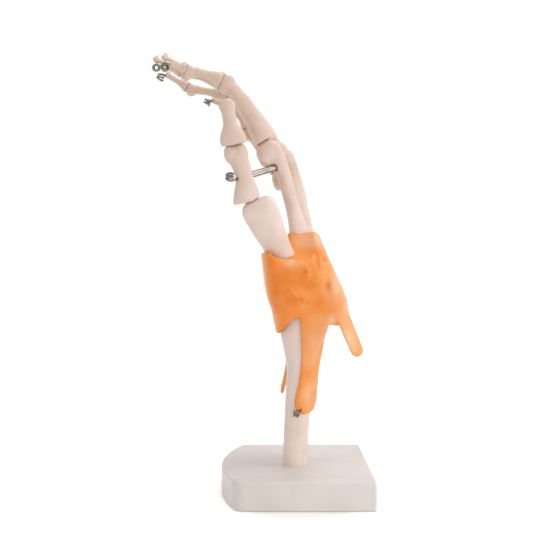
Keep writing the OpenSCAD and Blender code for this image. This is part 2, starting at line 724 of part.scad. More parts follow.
// Curved plate between two edges, one column of points for each angle
module sheet(low, high, palm, back, thumb, little) {
  first = low[0][0];
  last = low[len(low) - 1][0];
  n = sheet_columns;
  m = sheet_levels;
  points = [for (inset = [0, sheet_thick], i = [0 : n], j = [0 : m])
    let (
      a = first + (last - first) * i / n,
      z = lookup(a, low) + (lookup(a, high) - lookup(a, low)) * j / m
    )
    oval_point(a, z, palm, back, thumb, little, inset)];
  function at(side, i, j) = (side * (n + 1) + i) * (m + 1) + j;
  function tiles(a, b, c, d) = [[a, b, c], [a, c, d]];
  faces = [
    for (i = [0 : n - 1], j = [0 : m - 1])
      each tiles(at(0, i, j), at(0, i, j + 1), at(0, i + 1, j + 1), at(0, i + 1, j)),
    for (i = [0 : n - 1], j = [0 : m - 1])
      each tiles(at(1, i, j), at(1, i + 1, j), at(1, i + 1, j + 1), at(1, i, j + 1)),
    for (i = [0 : n - 1])
      each tiles(at(0, i, 0), at(0, i + 1, 0), at(1, i + 1, 0), at(1, i, 0)),
    for (i = [0 : n - 1])
      each tiles(at(0, i, m), at(1, i, m), at(1, i + 1, m), at(0, i + 1, m)),
    for (j = [0 : m - 1])
      each tiles(at(0, 0, j), at(1, 0, j), at(1, 0, j + 1), at(0, 0, j + 1)),
    for (j = [0 : m - 1])
      each tiles(at(0, n, j), at(0, n, j + 1), at(1, n, j + 1), at(1, n, j))
  ];
  polyhedron(points = points, faces = faces);
}

// Flat strap along a path, with a width at each point; side is the way its width runs
module strap(path, widths, side) {
  bevel = strap_thick / 4;
  loft([for (i = [0 : len(path) - 1])
    let (
      t = path_way(path, i),
      n = unit(cross(t, side)),
      w = cross(n, t),
      a = widths[i] / 2,
      b = strap_thick / 2
    )
    [for (c = [[a, b - bevel], [a - bevel, b], [bevel - a, b], [-a, b - bevel],
        [-a, bevel - b], [bevel - a, -b], [a - bevel, -b], [a, bevel - b]])
      path[i] + c[0] * w + c[1] * n]]);
}

// Thumb-side strap down the radius: its middle line towards the back and its width at each level
strap_line = [[-7, 3.5], [-15, 3.2], [-23, 2.8], [-31, 2.2], [-39, 1.4], [-48, 0.4],
  [-56, -0.8], [-61, -1.8], [-64, -2.6]];
strap_taper = [1.5, 1.42, 1.25, 1.08, 0.95, 0.97, 1.06, 0.95, 0.5];
strap_clear = 0.35;
sheet_reach = 1.2;
sheet_edge = -16;

function radius_share(z) = (z - base_height) / (radius_top - base_height);
function radius_front(z) =
  let (t = min(radius_share(z), 1))
  radius_at[1] + radius_drift[1] * t
    - shaft_size(t, radius_foot, radius_waist, radius_end, radius_reach[0], radius_reach[1])[0] / 2;
strap_path = [for (p = strap_line)
  let (
    over_sheet = p[0] > sheet_edge ? lookup(p[0], dorsal_thumb) + sheet_reach : 0,
    clear_of_bone = radius_front(wrist[2] + p[0]) - strap_clear - strap_thick / 2
  )
  wrist + [p[1], min(over_sheet, clear_of_bone), p[0]]];
strap_widths = strap_width * strap_taper;

// Loose strap at the back corner of the dorsal sheet
dorsal_strap_place = [16.9, -22.4, -9];
dorsal_strap_top = wrist + dorsal_strap_place;
dorsal_strap_way = unit([0.36, -0.2, -0.91]);
dorsal_strap_width = 9.5;
dorsal_strap_path = [for (t = [0, 0.3, 0.6, 0.88, 1])
  dorsal_strap_top + t * dorsal_strap_length * dorsal_strap_way];
dorsal_strap_widths = dorsal_strap_width * [1, 1, 0.95, 0.9, 0.5];

// Thin strap from the palmar sheet down beside the radius
palmar_strap_line = [[-17, 3, -16], [-13.8, 2, -24], [-11.8, 0.4, -33], [-11.8, 0, -42], [-13, 0, -50],
  [-14, 0, -55.5]];
palmar_strap_path = [for (p = palmar_strap_line) wrist + p];
palmar_strap_widths = [8, 7, 6, 5.5, 5, 3];

module palmar_ligament() {
  color(orange) union() {
    sheet(palmar_low, palmar_high, palmar_palm, palmar_back, palmar_thumb, little_side);
    strap(palmar_strap_path, palmar_strap_widths, [0, 1, 0]);
  }
}

module dorsal_ligament() {
  color(orange) difference() {
    union() {
      sheet(dorsal_low, dorsal_high, dorsal_palm, dorsal_back, dorsal_thumb, little_side);
      strap(strap_path, strap_widths, [1, 0, 0]);
      strap(dorsal_strap_path, dorsal_strap_widths, [0.85, 0.5, 0]);
    }
    strap_pin_bore();
  }
}

// Wire end that pins the thumb-side strap to the radius
strap_pin_drop = 63;
strap_pin_forward = 4.2;
strap_pin = [wrist_offset - strap_pin_forward, wrist_height - strap_pin_drop];
strap_pin_depth = 6;

module at_strap_pin() {
  translate([strap_pin[0], radius_front(strap_pin[1]), strap_pin[1]]) rotate([90, 0, 0]) children();
}

module strap_pin_bore() {
  at_strap_pin() translate([0, 0, -strap_pin_depth - wire_inset])
    cylinder(d = wire + 2 * wire_play, h = 3 * strap_pin_depth);
}

module strap_wire() {
  rise = strap_clear + strap_thick + wire + tip_clear;
  color(steel) at_strap_pin() translate([0, 0, rise]) rotate([0, 0, 75])
    wire_tube(loop_path(rise + strap_pin_depth));
}

base();
radius();
ulna();
scaphoid_bone();
lunate_bone();
triquetrum_bone();
pisiform_bone();
trapezium_bone();
trapezoid_bone();
capitate_bone();
hamate_bone();
thumb_metacarpal();
index_metacarpal();
middle_metacarpal();
ring_metacarpal();
little_metacarpal();
thumb_proximal_phalanx();
index_proximal_phalanx();
middle_proximal_phalanx();
ring_proximal_phalanx();
little_proximal_phalanx();
index_middle_phalanx();
middle_middle_phalanx();
ring_middle_phalanx();
little_middle_phalanx();
thumb_distal_phalanx();
index_distal_phalanx();
middle_distal_phalanx();
ring_distal_phalanx();
little_distal_phalanx();
palmar_ligament();
dorsal_ligament();
metacarpal_wires();
thumb_proximal_wire();
index_proximal_wire();
middle_proximal_wire();
ring_proximal_wire();
little_proximal_wire();
index_middle_wire();
middle_middle_wire();
ring_middle_wire();
little_middle_wire();
thumb_tip_wire();
index_tip_wire();
middle_tip_wire();
ring_tip_wire();
little_tip_wire();
thumb_stay_tube();
thumb_stay_wire();
strap_wire();
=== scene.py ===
import json
import math

import bmesh
import bpy
import numpy as np
from mathutils import Matrix, Vector, noise


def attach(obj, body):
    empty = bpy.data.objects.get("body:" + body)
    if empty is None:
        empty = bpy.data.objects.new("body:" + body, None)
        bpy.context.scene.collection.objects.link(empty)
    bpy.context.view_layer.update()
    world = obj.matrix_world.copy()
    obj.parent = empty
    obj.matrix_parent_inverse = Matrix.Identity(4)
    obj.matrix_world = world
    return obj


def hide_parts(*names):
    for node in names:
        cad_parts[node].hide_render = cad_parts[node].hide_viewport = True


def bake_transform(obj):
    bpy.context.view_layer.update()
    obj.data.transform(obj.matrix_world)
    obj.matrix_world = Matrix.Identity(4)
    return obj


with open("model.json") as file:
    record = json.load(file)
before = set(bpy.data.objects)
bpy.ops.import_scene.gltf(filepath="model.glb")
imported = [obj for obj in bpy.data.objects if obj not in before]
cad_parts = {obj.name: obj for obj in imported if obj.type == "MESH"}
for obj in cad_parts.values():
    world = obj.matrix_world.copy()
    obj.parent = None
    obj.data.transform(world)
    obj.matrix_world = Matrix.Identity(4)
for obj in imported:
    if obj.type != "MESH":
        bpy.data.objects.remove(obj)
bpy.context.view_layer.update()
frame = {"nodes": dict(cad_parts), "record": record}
scene = bpy.context.scene
MM = 0.001

# Sizes are in millimetres and degrees, as in the part's source.
# Digits, from the thumb to the little finger: lengths of their bones, bends between these, and radii of the rollers
THUMB, INDEX = 0, 1
DIGITS = ["thumb", "index", "middle", "ring", "little"]
BONES = [[34, 32, 29], [60, 42.5, 21, 16.8], [60.5, 46, 23.5, 19.4], [58, 45, 24.5, 17.5], [50.5, 33, 17, 15]]
BENDS = [None, [18, 13, 42, -6], [15, 21, 38, -5], [12.5, 25, 40.5, -20], [12, 24, -5, 33]]
ROLLERS = [[6.2, 4.8], [7, 4.3, 3.2], [7, 4.4, 3.3], [6.5, 4.1, 3.1], [6, 3.7, 2.8]]
# Palm bones: width and depth of the foot, place across the wrist with the fan angle, how far the foot lies back and
# down on the wrist bones, set of the head to the back, and bow as a share of the head's radius
FEET = [[14, 12], [12.5, 15], [11.5, 15], [10, 13.5], [10, 12.5]]
PLACES = [None, [-14.6, 4], [-1.6, 0], [9.8, -5], [20.4, -10]]
FOOT_BEHIND, FOOT_DROP = [0, 1.6, 2, 2, 0.4], [0, 0, 0, 0, 0.6]
PALM_SET = [0, 3.3, 4.8, 3.4, 1.5]
PALM_BOW = [0.14, 0.14, 0.36, 0.36, 0.14]
# Thumb: leans and tilts of its bones, step to the palm after the first one, twist, and its foot over the trapezium
THUMB_LEANS, THUMB_TILTS, THUMB_STEP, THUMB_TWIST = [23, 12, 10.5], [19, 3, 2], 7, -90
THUMB_FOOT = np.array([-3.4, 0.7, 2.7])
# Wrist axis and its clearance, clearance of the finger hinges, wire with its play in a bore
WRIST = np.array([7.0, 0, 108])
WRIST_R, WRIST_GAP, GAP, WIRE, PLAY = 13, 0.4, 0.35, 1.1, 0.15
# Fingertips: loop of the wire, its clearance, lift of the tuft over it, place, slant and turn of the loops
LOOP, TIP_CLEAR, TUFT_LIFT = 1.9, 0.25, 0.28
TIP_BACK, TIP_SLANT, TIP_TURNS = [0, 3.05, 2.7, -1.4, -1.4], 6, [0, 15, -15, 65, 80]
# Base: length, width, height, radius of the bowed palm edge and of its corners
BASE = [80, 110, 15, 160, 6.5]
BASE_RIM, BASE_UPRIGHT = 1.1, 1.2
# Forearm bones: foot on the base, way to the wrist, width and depth at the foot, the waist and the wrist, reach of
# both flares as a share of the length, top, and how far the feet are sunk in the base
RADIUS_AT, RADIUS_DRIFT, RADIUS_BOW = np.array([-0.1, -9, 0]), (WRIST[0] - 1.5, 0.5), -0.75
RADIUS_FOOT, RADIUS_WAIST, RADIUS_END, RADIUS_REACH = (14, 14.2), (12.4, 14.2), (29, 30), (0.3, 0.45)
RADIUS_TOP = WRIST[2] - WRIST_R + 4
ULNA_AT, ULNA_DRIFT = np.array([1.5, 13.5, 0]), (WRIST[0] + 1, 1)
ULNA_FOOT, ULNA_WAIST, ULNA_END, ULNA_REACH = (12, 11.5), (9.6, 10), (15, 17), (0.3, 0.3)
ULNA_TOP = WRIST[2] - WRIST_R - 3
SUNK, FOREARM_LUMPS = 4, (14, 0.2)
# Wrist bones: levels of the two rows over the wrist axis, depth and width, and where they lie across the wrist,
# chained from the lunate and the capitate
CARPAL_LEAN, CARPAL_GAP = 12, 0.5
NEAR_LOW = -WRIST_R
NEAR_HIGH = NEAR_LOW + 13.4
FAR_LOW = NEAR_HIGH + CARPAL_GAP
FAR_HIGH = FAR_LOW + 16.5
SCAPHOID, LUNATE, TRIQUETRUM, PISIFORM = [18, 13], [17, 12.5], [14, 12], [7, 9]
TRAPEZIUM, TRAPEZOID, CAPITATE, HAMATE = [15, 12], [15, 11], [17, 12], [16, 14.5]
LUNATE_Y, CAPITATE_Y = 1, 0.5
SCAPHOID_Y = LUNATE_Y - (LUNATE[1] + SCAPHOID[1]) / 2 - CARPAL_GAP
TRIQUETRUM_X, TRIQUETRUM_Y = 0.5, LUNATE_Y + (LUNATE[1] + TRIQUETRUM[1]) / 2 + CARPAL_GAP
PISIFORM_X = TRIQUETRUM_X - (TRIQUETRUM[0] + PISIFORM[0]) / 2 - CARPAL_GAP
PISIFORM_Z, PISIFORM_HALF = (NEAR_LOW + NEAR_HIGH) / 2, 5
TRAPEZOID_Y = CAPITATE_Y - (CAPITATE[1] + TRAPEZOID[1]) / 2 - CARPAL_GAP
TRAPEZIUM_X, TRAPEZIUM_Y = -5, TRAPEZOID_Y - (TRAPEZOID[1] + TRAPEZIUM[1]) / 2 - CARPAL_GAP + 0.9
TRAPEZIUM_HIGH = FAR_LOW + 12.8
HAMATE_Y = CAPITATE_Y + (CAPITATE[1] + HAMATE[1]) / 2 + CARPAL_GAP


def about_x(a):
    c, s = math.cos(math.radians(a)), math.sin(math.radians(a))
    return np.array([[1, 0, 0], [0, c, -s], [0, s, c]])


def about_y(a):
    c, s = math.cos(math.radians(a)), math.sin(math.radians(a))
    return np.array([[c, 0, s], [0, 1, 0], [-s, 0, c]])


def about_z(a):
    c, s = math.cos(math.radians(a)), math.sin(math.radians(a))
    return np.array([[c, -s, 0], [s, c, 0], [0, 0, 1]])


def unit(v):
    """The same way, one millimetre long."""
    v = np.array(v, float)
    return v / np.linalg.norm(v)


def turned(d, k):
    """How bone k of digit d is turned: its own axes as columns."""
    if d == THUMB:
        return about_x(THUMB_TILTS[k]) @ about_y(-THUMB_LEANS[k]) @ about_z(THUMB_TWIST)
    return about_x(PLACES[d][1]) @ about_y(-sum(BENDS[d][:k + 1]))


def along(d, k):
    return turned(d, k)[:, 2]


def behind(d, k):
    """Towards the back of a bone."""
    way = turned(d, k)
    return (way @ about_z(-THUMB_TWIST))[:, 0] if d == THUMB else way[:, 0]


def on_carpals(v):
    """Point given in the leaning frame of the wrist bones."""
    return WRIST + about_y(-CARPAL_LEAN) @ np.array(v, float)


def joint(d, k):
    """Middle of the joint before bone k of digit d."""
    if k == 0:
        if d == THUMB:
            return on_carpals(THUMB_FOOT + [TRAPEZIUM_X, TRAPEZIUM_Y, TRAPEZIUM_HIGH])
        return on_carpals([FOOT_BEHIND[d], PLACES[d][0], FAR_HIGH + CARPAL_GAP - FOOT_DROP[d]])
    step = -THUMB_STEP * behind(d, 0) if d == THUMB and k == 1 else 0
    return joint(d, k - 1) + BONES[d][k - 1] * along(d, k - 1) + step


# Shapes are made upright in millimetres, then put in place in metres
def flare(u):
    """1 at the end of a bone, easing to 0 over its reach."""
    u = min(u, 1)
    return (1 - u) ** 2 * (1 + 2 * u)


def rings(mesh, rows, sides=28):
    """Closed stack of oval rings: height, middle x and y, reach to the back and to the palm, half width."""
    made = bmesh.ops.create_circle(mesh, cap_ends=True, segments=sides, radius=1)["verts"]
    cap = made[0].link_faces[0]
    shape = [(v.co.x, v.co.y) for v in cap.verts]
    for i, (z, cx, cy, back, palm, half) in enumerate(rows):
        if i:
            made = bmesh.ops.extrude_face_region(mesh, geom=[cap])["geom"]
            cap = next(g for g in made if isinstance(g, bmesh.types.BMFace))
        for v, (x, y) in zip(cap.verts, shape):
            v.co = (cx + x * (back if x > 0 else palm), cy + y * half, z)


def shaft_rows(z0, z1, foot, waist, head, bow=0, flat=0.8, reach=(0.5, 0.45), drift=(0, 0), ends=(1, 1), steps=22,
               hold=0, sway=0):
    """Rings of a long bone, from the width and depth of its foot, waist and head."""
    rows = []
    for i in range(steps + 1):
        t = i / steps
        near, far = flare(max(t - hold, 0) / reach[0]), flare((1 - t) / reach[1])
        w, d = [(waist[k] + (foot[k] - waist[k]) * near + (head[k] - waist[k]) * far) / 2 for k in (0, 1)]
        trim = ends[0] if i == 0 else ends[1] if i == steps else 1
        cx, cy = [side * math.sin(math.pi * t) + way * t for side, way in zip((bow, sway), drift)]
        rows.append((z0 + (z1 - z0) * t, cx, cy, d * trim, d * flat * trim, w * trim))
    return rows


def knob(mesh, centre, radii):
    """Egg-shaped lump along the three axes."""
    place = Matrix.Translation(centre) @ Matrix.Diagonal((*radii, 1))
    bmesh.ops.create_uvsphere(mesh, u_segments=28, v_segments=18, radius=1, matrix=place)


def roller(mesh, z, r, width, groove, power, aside=0):
    """Head of a bone, turned about the hinge axis, with a groove between its two condyles."""
    half, count = width / 2, 18
    verts = []
    for i in range(count + 1):
        y = -half + width * i / count
        rim = r * (1 - groove * math.exp(-(y / (0.17 * width)) ** 2))
        verts.append(mesh.verts.new((rim * max(1 - abs(y / half) ** power, 0) ** 0.5, y + aside, z)))
    edges = [mesh.edges.new(pair) for pair in zip(verts, verts[1:])]
    bmesh.ops.spin(mesh, geom=verts + edges, cent=(0, 0, z), axis=(0, 1, 0), angle=2 * math.pi, steps=40,
                   use_merge=True)


def pin(mesh, a, b, r, sides=40):
    """Solid rod from one point to another."""
    a, b = Vector(a), Vector(b)
    turn = (b - a).to_track_quat("Z", "Y").to_matrix().to_4x4()
    bmesh.ops.create_cone(mesh, cap_ends=True, segments=sides, radius1=r, radius2=r, depth=(b - a).length,
                          matrix=Matrix.Translation((a + b) / 2) @ turn)


def closed(mesh):
    """Merges seams and poles and turns all faces outwards."""
    bmesh.ops.remove_doubles(mesh, verts=mesh.verts, dist=1e-4)
    bmesh.ops.recalc_face_normals(mesh, faces=mesh.faces)
    return mesh


def loose_object(name, mesh):
    data = bpy.data.meshes.new(name)
    mesh.to_mesh(data)
    mesh.free()
    thing = bpy.data.objects.new(name, data)
    scene.collection.objects.link(thing)
    return thing


def fused(name, solids, cuts, voxel, softness, finish=4):
    """One smooth skin over overlapping solids, with other solids taken out of it."""
    thing = loose_object(name, closed(solids))
    tools = [loose_object(name + "_cut", closed(cut)) for cut in cuts]

    def skin():
        modifier = thing.modifiers.new("skin", "REMESH")
        modifier.mode = "VOXEL"
        modifier.voxel_size = voxel

    def soften(count):
        modifier = thing.modifiers.new("soften", "SMOOTH")
        modifier.factor = 0.5
        modifier.iterations = count

    skin()
    soften(softness)
    for tool in tools:
        modifier = thing.modifiers.new("cut", "BOOLEAN")
        modifier.operation = "DIFFERENCE"
        modifier.solver = "MANIFOLD"
        modifier.object = tool
    if tools:
        skin()
        soften(finish)
    data = bpy.data.meshes.new_from_object(thing.evaluated_get(bpy.context.evaluated_depsgraph_get()))
    for each in (thing, *tools):
        bpy.data.objects.remove(each)
    drop_crumbs(data)
    return data


def drop_crumbs(data):
    """Keeps the largest connected skin of a mesh, without the crumbs that a cut can leave loose."""
    mesh = bmesh.new()
    mesh.from_mesh(data)
    parts, left = [], set(mesh.verts)
    while left:
        part = edge = {left.pop()}
        while edge:
            edge = {e.other_vert(v) for v in edge for e in v.link_edges} - part
            part = part | edge
        parts.append(part)
        left -= part
    parts.sort(key=len)
    bmesh.ops.delete(mesh, geom=[v for part in parts[:-1] for v in part], context="VERTS")
    mesh.to_mesh(data)
    mesh.free()


def moved_out(data, rise):
    """Moves each point of a mesh along its normal by rise(point, normal), in millimetres."""
    spots = [(v.co.copy(), v.normal.copy()) for v in data.vertices]
    for v, (spot, normal) in zip(data.vertices, spots):
        v.co = spot + normal * rise(spot, normal)


def uneven(data, size, height, seed):
    """Slight unevenness of a moulded bone."""
    shift = Vector((seed * 7.3, seed * 3.1, seed * 5.7))
    moved_out(data, lambda spot, normal: height * noise.noise(spot / size + shift))


def piece_from(name, data, turn, place, material):
    """Turns and places a mesh, from millimetres to metres, and makes a piece of it."""
    matrix = Matrix(np.array(turn) * MM).to_4x4()
    matrix.translation = Vector(np.array(place) * MM)
    data.transform(matrix)
    data.materials.clear()
    data.materials.append(material)
    data.shade_smooth()
    piece = bpy.data.objects.new(name, data)
    scene.collection.objects.link(piece)
    return piece


def body_of(node):
    return next(b for b, nodes in frame["record"]["behaviour"]["bodies"].items() if node in nodes)


def bone(node, solids, cuts, voxel, softness, turn, place, seed, lumps=(7, 0.22)):
    """Finished bone in place of a node: one skin over its solids, uneven by the size and height of its lumps."""
    data = fused(node, solids, cuts, voxel, softness)
    uneven(data, *lumps, seed)
    piece = piece_from(node + "_surface", data, turn, place, bone_plastic)
    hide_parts(node)
    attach(piece, body_of(node))


# Materials
def colour(r, g, b):
    return [((c / 255 + 0.055) / 1.055) ** 2.4 if c > 10 else c / 255 / 12.92 for c in (r, g, b)] + [1.0]


class Look:
    """Small helper that strings shader nodes together."""

    def __init__(self, name, roughness, specular=0.5, metallic=0.0):
        self.material = bpy.data.materials.new(name)
        self.material.use_nodes = True
        self.tree = self.material.node_tree
        self.shader = self.tree.nodes["Principled BSDF"]
        self.shader.inputs["Roughness"].default_value = roughness
        self.shader.inputs["Specular IOR Level"].default_value = specular
        self.shader.inputs["Metallic"].default_value = metallic
        self.place = self.tree.nodes.new("ShaderNodeTexCoord").outputs["Object"]

    def noise(self, scale, detail=2.0, stretch=None):
        place = self.place
        if stretch:
            mapping = self.tree.nodes.new("ShaderNodeMapping")
            mapping.inputs["Scale"].default_value = stretch
            self.tree.links.new(place, mapping.inputs["Vector"])
            place = mapping.outputs["Vector"]
        node = self.tree.nodes.new("ShaderNodeTexNoise")
        node.inputs["Scale"].default_value = scale
        node.inputs["Detail"].default_value = detail
        self.tree.links.new(place, node.inputs["Vector"])
        return node.outputs["Fac"]

    def ramp(self, value, *stops):
        node = self.tree.nodes.new("ShaderNodeValToRGB")
        node.color_ramp.interpolation = "EASE"
        marks = node.color_ramp.elements
        while len(marks) < len(stops):
            marks.new(0.5)
        for mark, (at, shade) in zip(marks, stops):
            mark.position = at
            mark.color = shade
        self.tree.links.new(value, node.inputs["Fac"])
        return node.outputs["Color"]

    def near(self, centre, radius):
        """1 at a point in the part's frame, falling to 0 at a distance, both in millimetres."""
        mapping = self.tree.nodes.new("ShaderNodeMapping")
        mapping.inputs["Location"].default_value = [-c / r for c, r in zip(centre, radius)]
        mapping.inputs["Scale"].default_value = [1 / (r * MM) for r in radius]
        self.tree.links.new(self.place, mapping.inputs["Vector"])
        node = self.tree.nodes.new("ShaderNodeTexGradient")
        node.gradient_type = "QUADRATIC_SPHERE"
        self.tree.links.new(mapping.outputs["Vector"], node.inputs["Vector"])
        return node.outputs["Fac"]

    def mix(self, share, a, b):
        node = self.tree.nodes.new("ShaderNodeMix")
        node.data_type = "RGBA"
        self.tree.links.new(share, node.inputs[0])
        for value, socket in ((a, node.inputs[6]), (b, node.inputs[7])):
            if isinstance(value, list):
                socket.default_value = value
            else:
                self.tree.links.new(value, socket)
        return node.outputs[2]

    def base(self, shade):
        self.tree.links.new(shade, self.shader.inputs["Base Color"])

    def rough(self, value, low, high):
        node = self.tree.nodes.new("ShaderNodeMapRange")
        node.inputs["To Min"].default_value = low
        node.inputs["To Max"].default_value = high
        self.tree.links.new(value, node.inputs["Value"])
        self.tree.links.new(node.outputs["Result"], self.shader.inputs["Roughness"])

    def bump(self, height, strength, distance):
        node = self.tree.nodes.new("ShaderNodeBump")
        node.inputs["Strength"].default_value = strength
        node.inputs["Distance"].default_value = distance
        self.tree.links.new(height, node.inputs["Height"])
        self.tree.links.new(node.outputs["Normal"], self.shader.inputs["Normal"])

    def soft(self, weight, radius, scale):
        self.shader.inputs["Subsurface Weight"].default_value = weight
        self.shader.inputs["Subsurface Radius"].default_value = radius
        self.shader.inputs["Subsurface Scale"].default_value = scale


def ivory_look():
    look = Look("bone_ivory_plastic", 0.42, 0.42)
    tone = look.noise(75, 3)
    # Painted light and shade: darker tones for the upper bones and lighter ones for the lower bones, mixed by height,
    # as the light falls on them.
    painted_shade_upper = look.ramp(tone, (0.25, colour(216, 189, 172)), (0.5, colour(227, 203, 188)),
                      (0.78, colour(235, 215, 201)))
    painted_light_lower = look.ramp(tone, (0.25, colour(231, 210, 198)), (0.5, colour(240, 222, 211)),
                      (0.78, colour(246, 232, 223)))
    share = look.ramp(look.near((0, 0, 60), (400, 400, 170)), (0, colour(0, 0, 0)), (0.3, colour(255, 255, 255)))
    shade = look.mix(share, painted_shade_upper, painted_light_lower)
    # Painted shade and bounced light: a warmer, darker tone on the far fingers, where they lie in each other's shade.
    painted_shade_far_fingers = look.near((-28, 24, 198), (70, 32, 70))
    look.base(look.mix(painted_shade_far_fingers, shade, colour(222, 192, 154)))
    look.rough(look.noise(420, 2), 0.36, 0.5)
    look.bump(look.noise(700, 3), 0.12, 0.0004)
    look.soft(0.3, (1.0, 0.45, 0.28), 0.003)
    return look.material


def base_look():
    look = Look("base_white_plastic", 0.46, 0.4)
    look.base(look.ramp(look.noise(38, 2), (0.3, colour(226, 217, 212)), (0.7, colour(234, 227, 223))))
    look.rough(look.noise(260, 2), 0.4, 0.54)
    look.bump(look.noise(2200, 2), 0.06, 0.0002)
    return look.material


def steel_look(name, dark, light):
    look = Look(name, 0.28, 0.5, 1.0)
    look.base(look.ramp(look.noise(160, 2), (0.3, dark), (0.7, light)))
    look.rough(look.noise(240, 2), 0.22, 0.32)
    return look.material


# Where bone shows through the rubber, with painted light where it is lit or thin at its edges, and painted shade in
# its dents and folds and on its shaded palm side: centre and reach, in millimetres
SHOW_THROUGH_AND_PAINTED_LIGHT_SPOTS = [
    ((22, -33, 112), (13, 30, 20)), ((9, -26, 62), (10, 14, 36)), ((28, -27, 84), (15, 22, 26)),
    ((-19, -34, 112), (6, 26, 16)), ((14, -28, 138), (18, 18, 10)), ((-3, -36, 124), (7, 12, 6)),
    ((11, -26, 79), (11, 16, 22)), ((19.5, -25, 94), (6, 14, 6)), ((7, -18, 53), (7, 12, 13)),
    ((17.5, -20, 85), (7, 16, 18)), ((14, -18, 70), (8, 16, 22)), ((12, -17, 57), (6, 16, 18)),
    ((-6, 0, 62), (9, 14, 26)), ((3, -27, 137), (12, 16, 12)), ((27, -20, 100), (7, 16, 12)),
    ((11, -16, 47), (6, 14, 10)), ((9, -27, 137), (10, 16, 9)),
]
# Painted shade: deeper orange in the rubber's dents and folds and on its shaded palm side
PAINTED_SHADE_SPOTS = [
    ((-9, -38, 116), (13, 16, 14)), ((17, -33, 112), (3.5, 12, 6)), ((5.4, -36, 119.4), (3, 12, 3)),
    ((11.3, -34, 125), (2, 12, 4)), ((15, -32, 126), (2.5, 12, 2.5)), ((-1, -35, 104), (12, 14, 7)),
]


def rubber_look():
    look = Look("ligament_orange_rubber", 0.36, 0.34)
    tone = look.noise(95, 3)
    shade = look.ramp(tone, (0.28, colour(244, 138, 46)), (0.5, colour(254, 153, 64)), (0.75, colour(255, 172, 94)))
    # Paler where bone shows through, and painted light where the rubber is lit or thin at its edges
    show_through_and_painted_light = colour(255, 206, 164)
    for centre, radius in SHOW_THROUGH_AND_PAINTED_LIGHT_SPOTS:
        shade = look.mix(look.near(centre, radius), shade, show_through_and_painted_light)
    # Painted shade in the dents and folds and on the shaded palm side
    deep = colour(233, 110, 26)
    for centre, radius in PAINTED_SHADE_SPOTS:
        shade = look.mix(look.near(centre, radius), shade, deep)
    look.base(shade)
    look.rough(look.noise(300, 2), 0.3, 0.46)
    look.bump(look.noise(420, 3), 0.16, 0.0005)
    look.soft(0.2, (1.0, 0.4, 0.15), 0.003)
    return look.material


bone_plastic = ivory_look()
base_plastic = base_look()
tube_steel = steel_look("bright_steel_tube", colour(148, 139, 133), colour(172, 162, 155))
wire_steel = steel_look("worn_steel_wire", colour(104, 97, 91), colour(146, 138, 131))
rubber = rubber_look()


def rounded(mesh, edges, offset, segments):
    bmesh.ops.bevel(mesh, geom=edges, offset=offset, offset_type="OFFSET", segments=segments, profile=0.5,
                    affect="EDGES", material=-1, clamp_overlap=True)


# Base block: bowed palm edge with round corners, all edges softly rounded
def base_block():
    length, width, high, bow, corner = BASE
    half = width / 2
    centre = bow - length / 2
    across = half - corner
    cx = centre - math.sqrt((bow - corner) ** 2 - across ** 2)
    top = math.atan2(across, cx - centre)
    mesh = bmesh.new()
    first = end = mesh.verts.new((cx, half, 0))
    arcs = (((cx, across, 0), top - math.pi / 2, 12), ((centre, 0, 0), 2 * math.pi - 2 * top, 60),
            ((cx, -across, 0), top - math.pi / 2, 12))
    for middle, angle, steps in arcs:
        last = bmesh.ops.spin(mesh, geom=[end], cent=middle, axis=(0, 0, 1), angle=angle, steps=steps)["geom_last"]
        end = next(g for g in last if isinstance(g, bmesh.types.BMVert))
    back = [mesh.verts.new((length / 2, -half, 0)), mesh.verts.new((length / 2, half, 0))]
    for a, b in ((end, back[0]), (back[0], back[1]), (back[1], first)):
        mesh.edges.new((a, b))
    bmesh.ops.edgeloop_fill(mesh, edges=mesh.edges)
    made = bmesh.ops.extrude_face_region(mesh, geom=list(mesh.faces))["geom"]
    bmesh.ops.translate(mesh, vec=(0, 0, high), verts=[g for g in made if isinstance(g, bmesh.types.BMVert)])
    bmesh.ops.recalc_face_normals(mesh, faces=mesh.faces)
    upright = [e for e in mesh.edges
               if abs(e.verts[0].co.z - e.verts[1].co.z) > 1 and e.verts[0].co.x > length / 2 - 0.1]
    rounded(mesh, upright, BASE_UPRIGHT, 4)
    rim = [e for e in mesh.edges if abs(e.verts[0].co.z - e.verts[1].co.z) < 0.01]
    rounded(mesh, rim, BASE_RIM, 5)
    data = bpy.data.meshes.new("base_block")
    closed(mesh).to_mesh(data)
    mesh.free()
    piece = piece_from("base_block", data, np.eye(3), np.zeros(3), base_plastic)
    modifier = piece.modifiers.new("even_light", "WEIGHTED_NORMAL")
    modifier.keep_sharp = True
    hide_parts("base")
    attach(piece, "forearm")


base_block()


# Forearm bones, their feet sunk in the base
def standing(rows):
    z, *rest = rows[0]
    return [(z - SUNK, *rest), *rows]


def forearm():
    high = BASE[2]
    solids = bmesh.new()
    rings(solids, standing(shaft_rows(high, RADIUS_TOP, RADIUS_FOOT, RADIUS_WAIST, RADIUS_END, RADIUS_BOW, flat=0.95,
                                      reach=RADIUS_REACH, drift=RADIUS_DRIFT, ends=(1, 0.9), steps=30)))
    cuts = bmesh.new()
    axis, half = WRIST - RADIUS_AT, np.array([0, 60, 0])
    pin(cuts, axis - half, axis + half, WRIST_R + WRIST_GAP, sides=96)
    bone("radius", solids, [cuts], voxel=0.6, softness=5, turn=np.eye(3), place=RADIUS_AT, seed=1,
         lumps=FOREARM_LUMPS)
    solids = bmesh.new()
    rings(solids, standing(shaft_rows(high, ULNA_TOP, ULNA_FOOT, ULNA_WAIST, ULNA_END, flat=0.95,
                                      reach=ULNA_REACH, drift=ULNA_DRIFT, ends=(1, 0.72), steps=30)))
    bone("ulna", solids, [], voxel=0.6, softness=6, turn=np.eye(3), place=ULNA_AT, seed=2, lumps=FOREARM_LUMPS)


forearm()


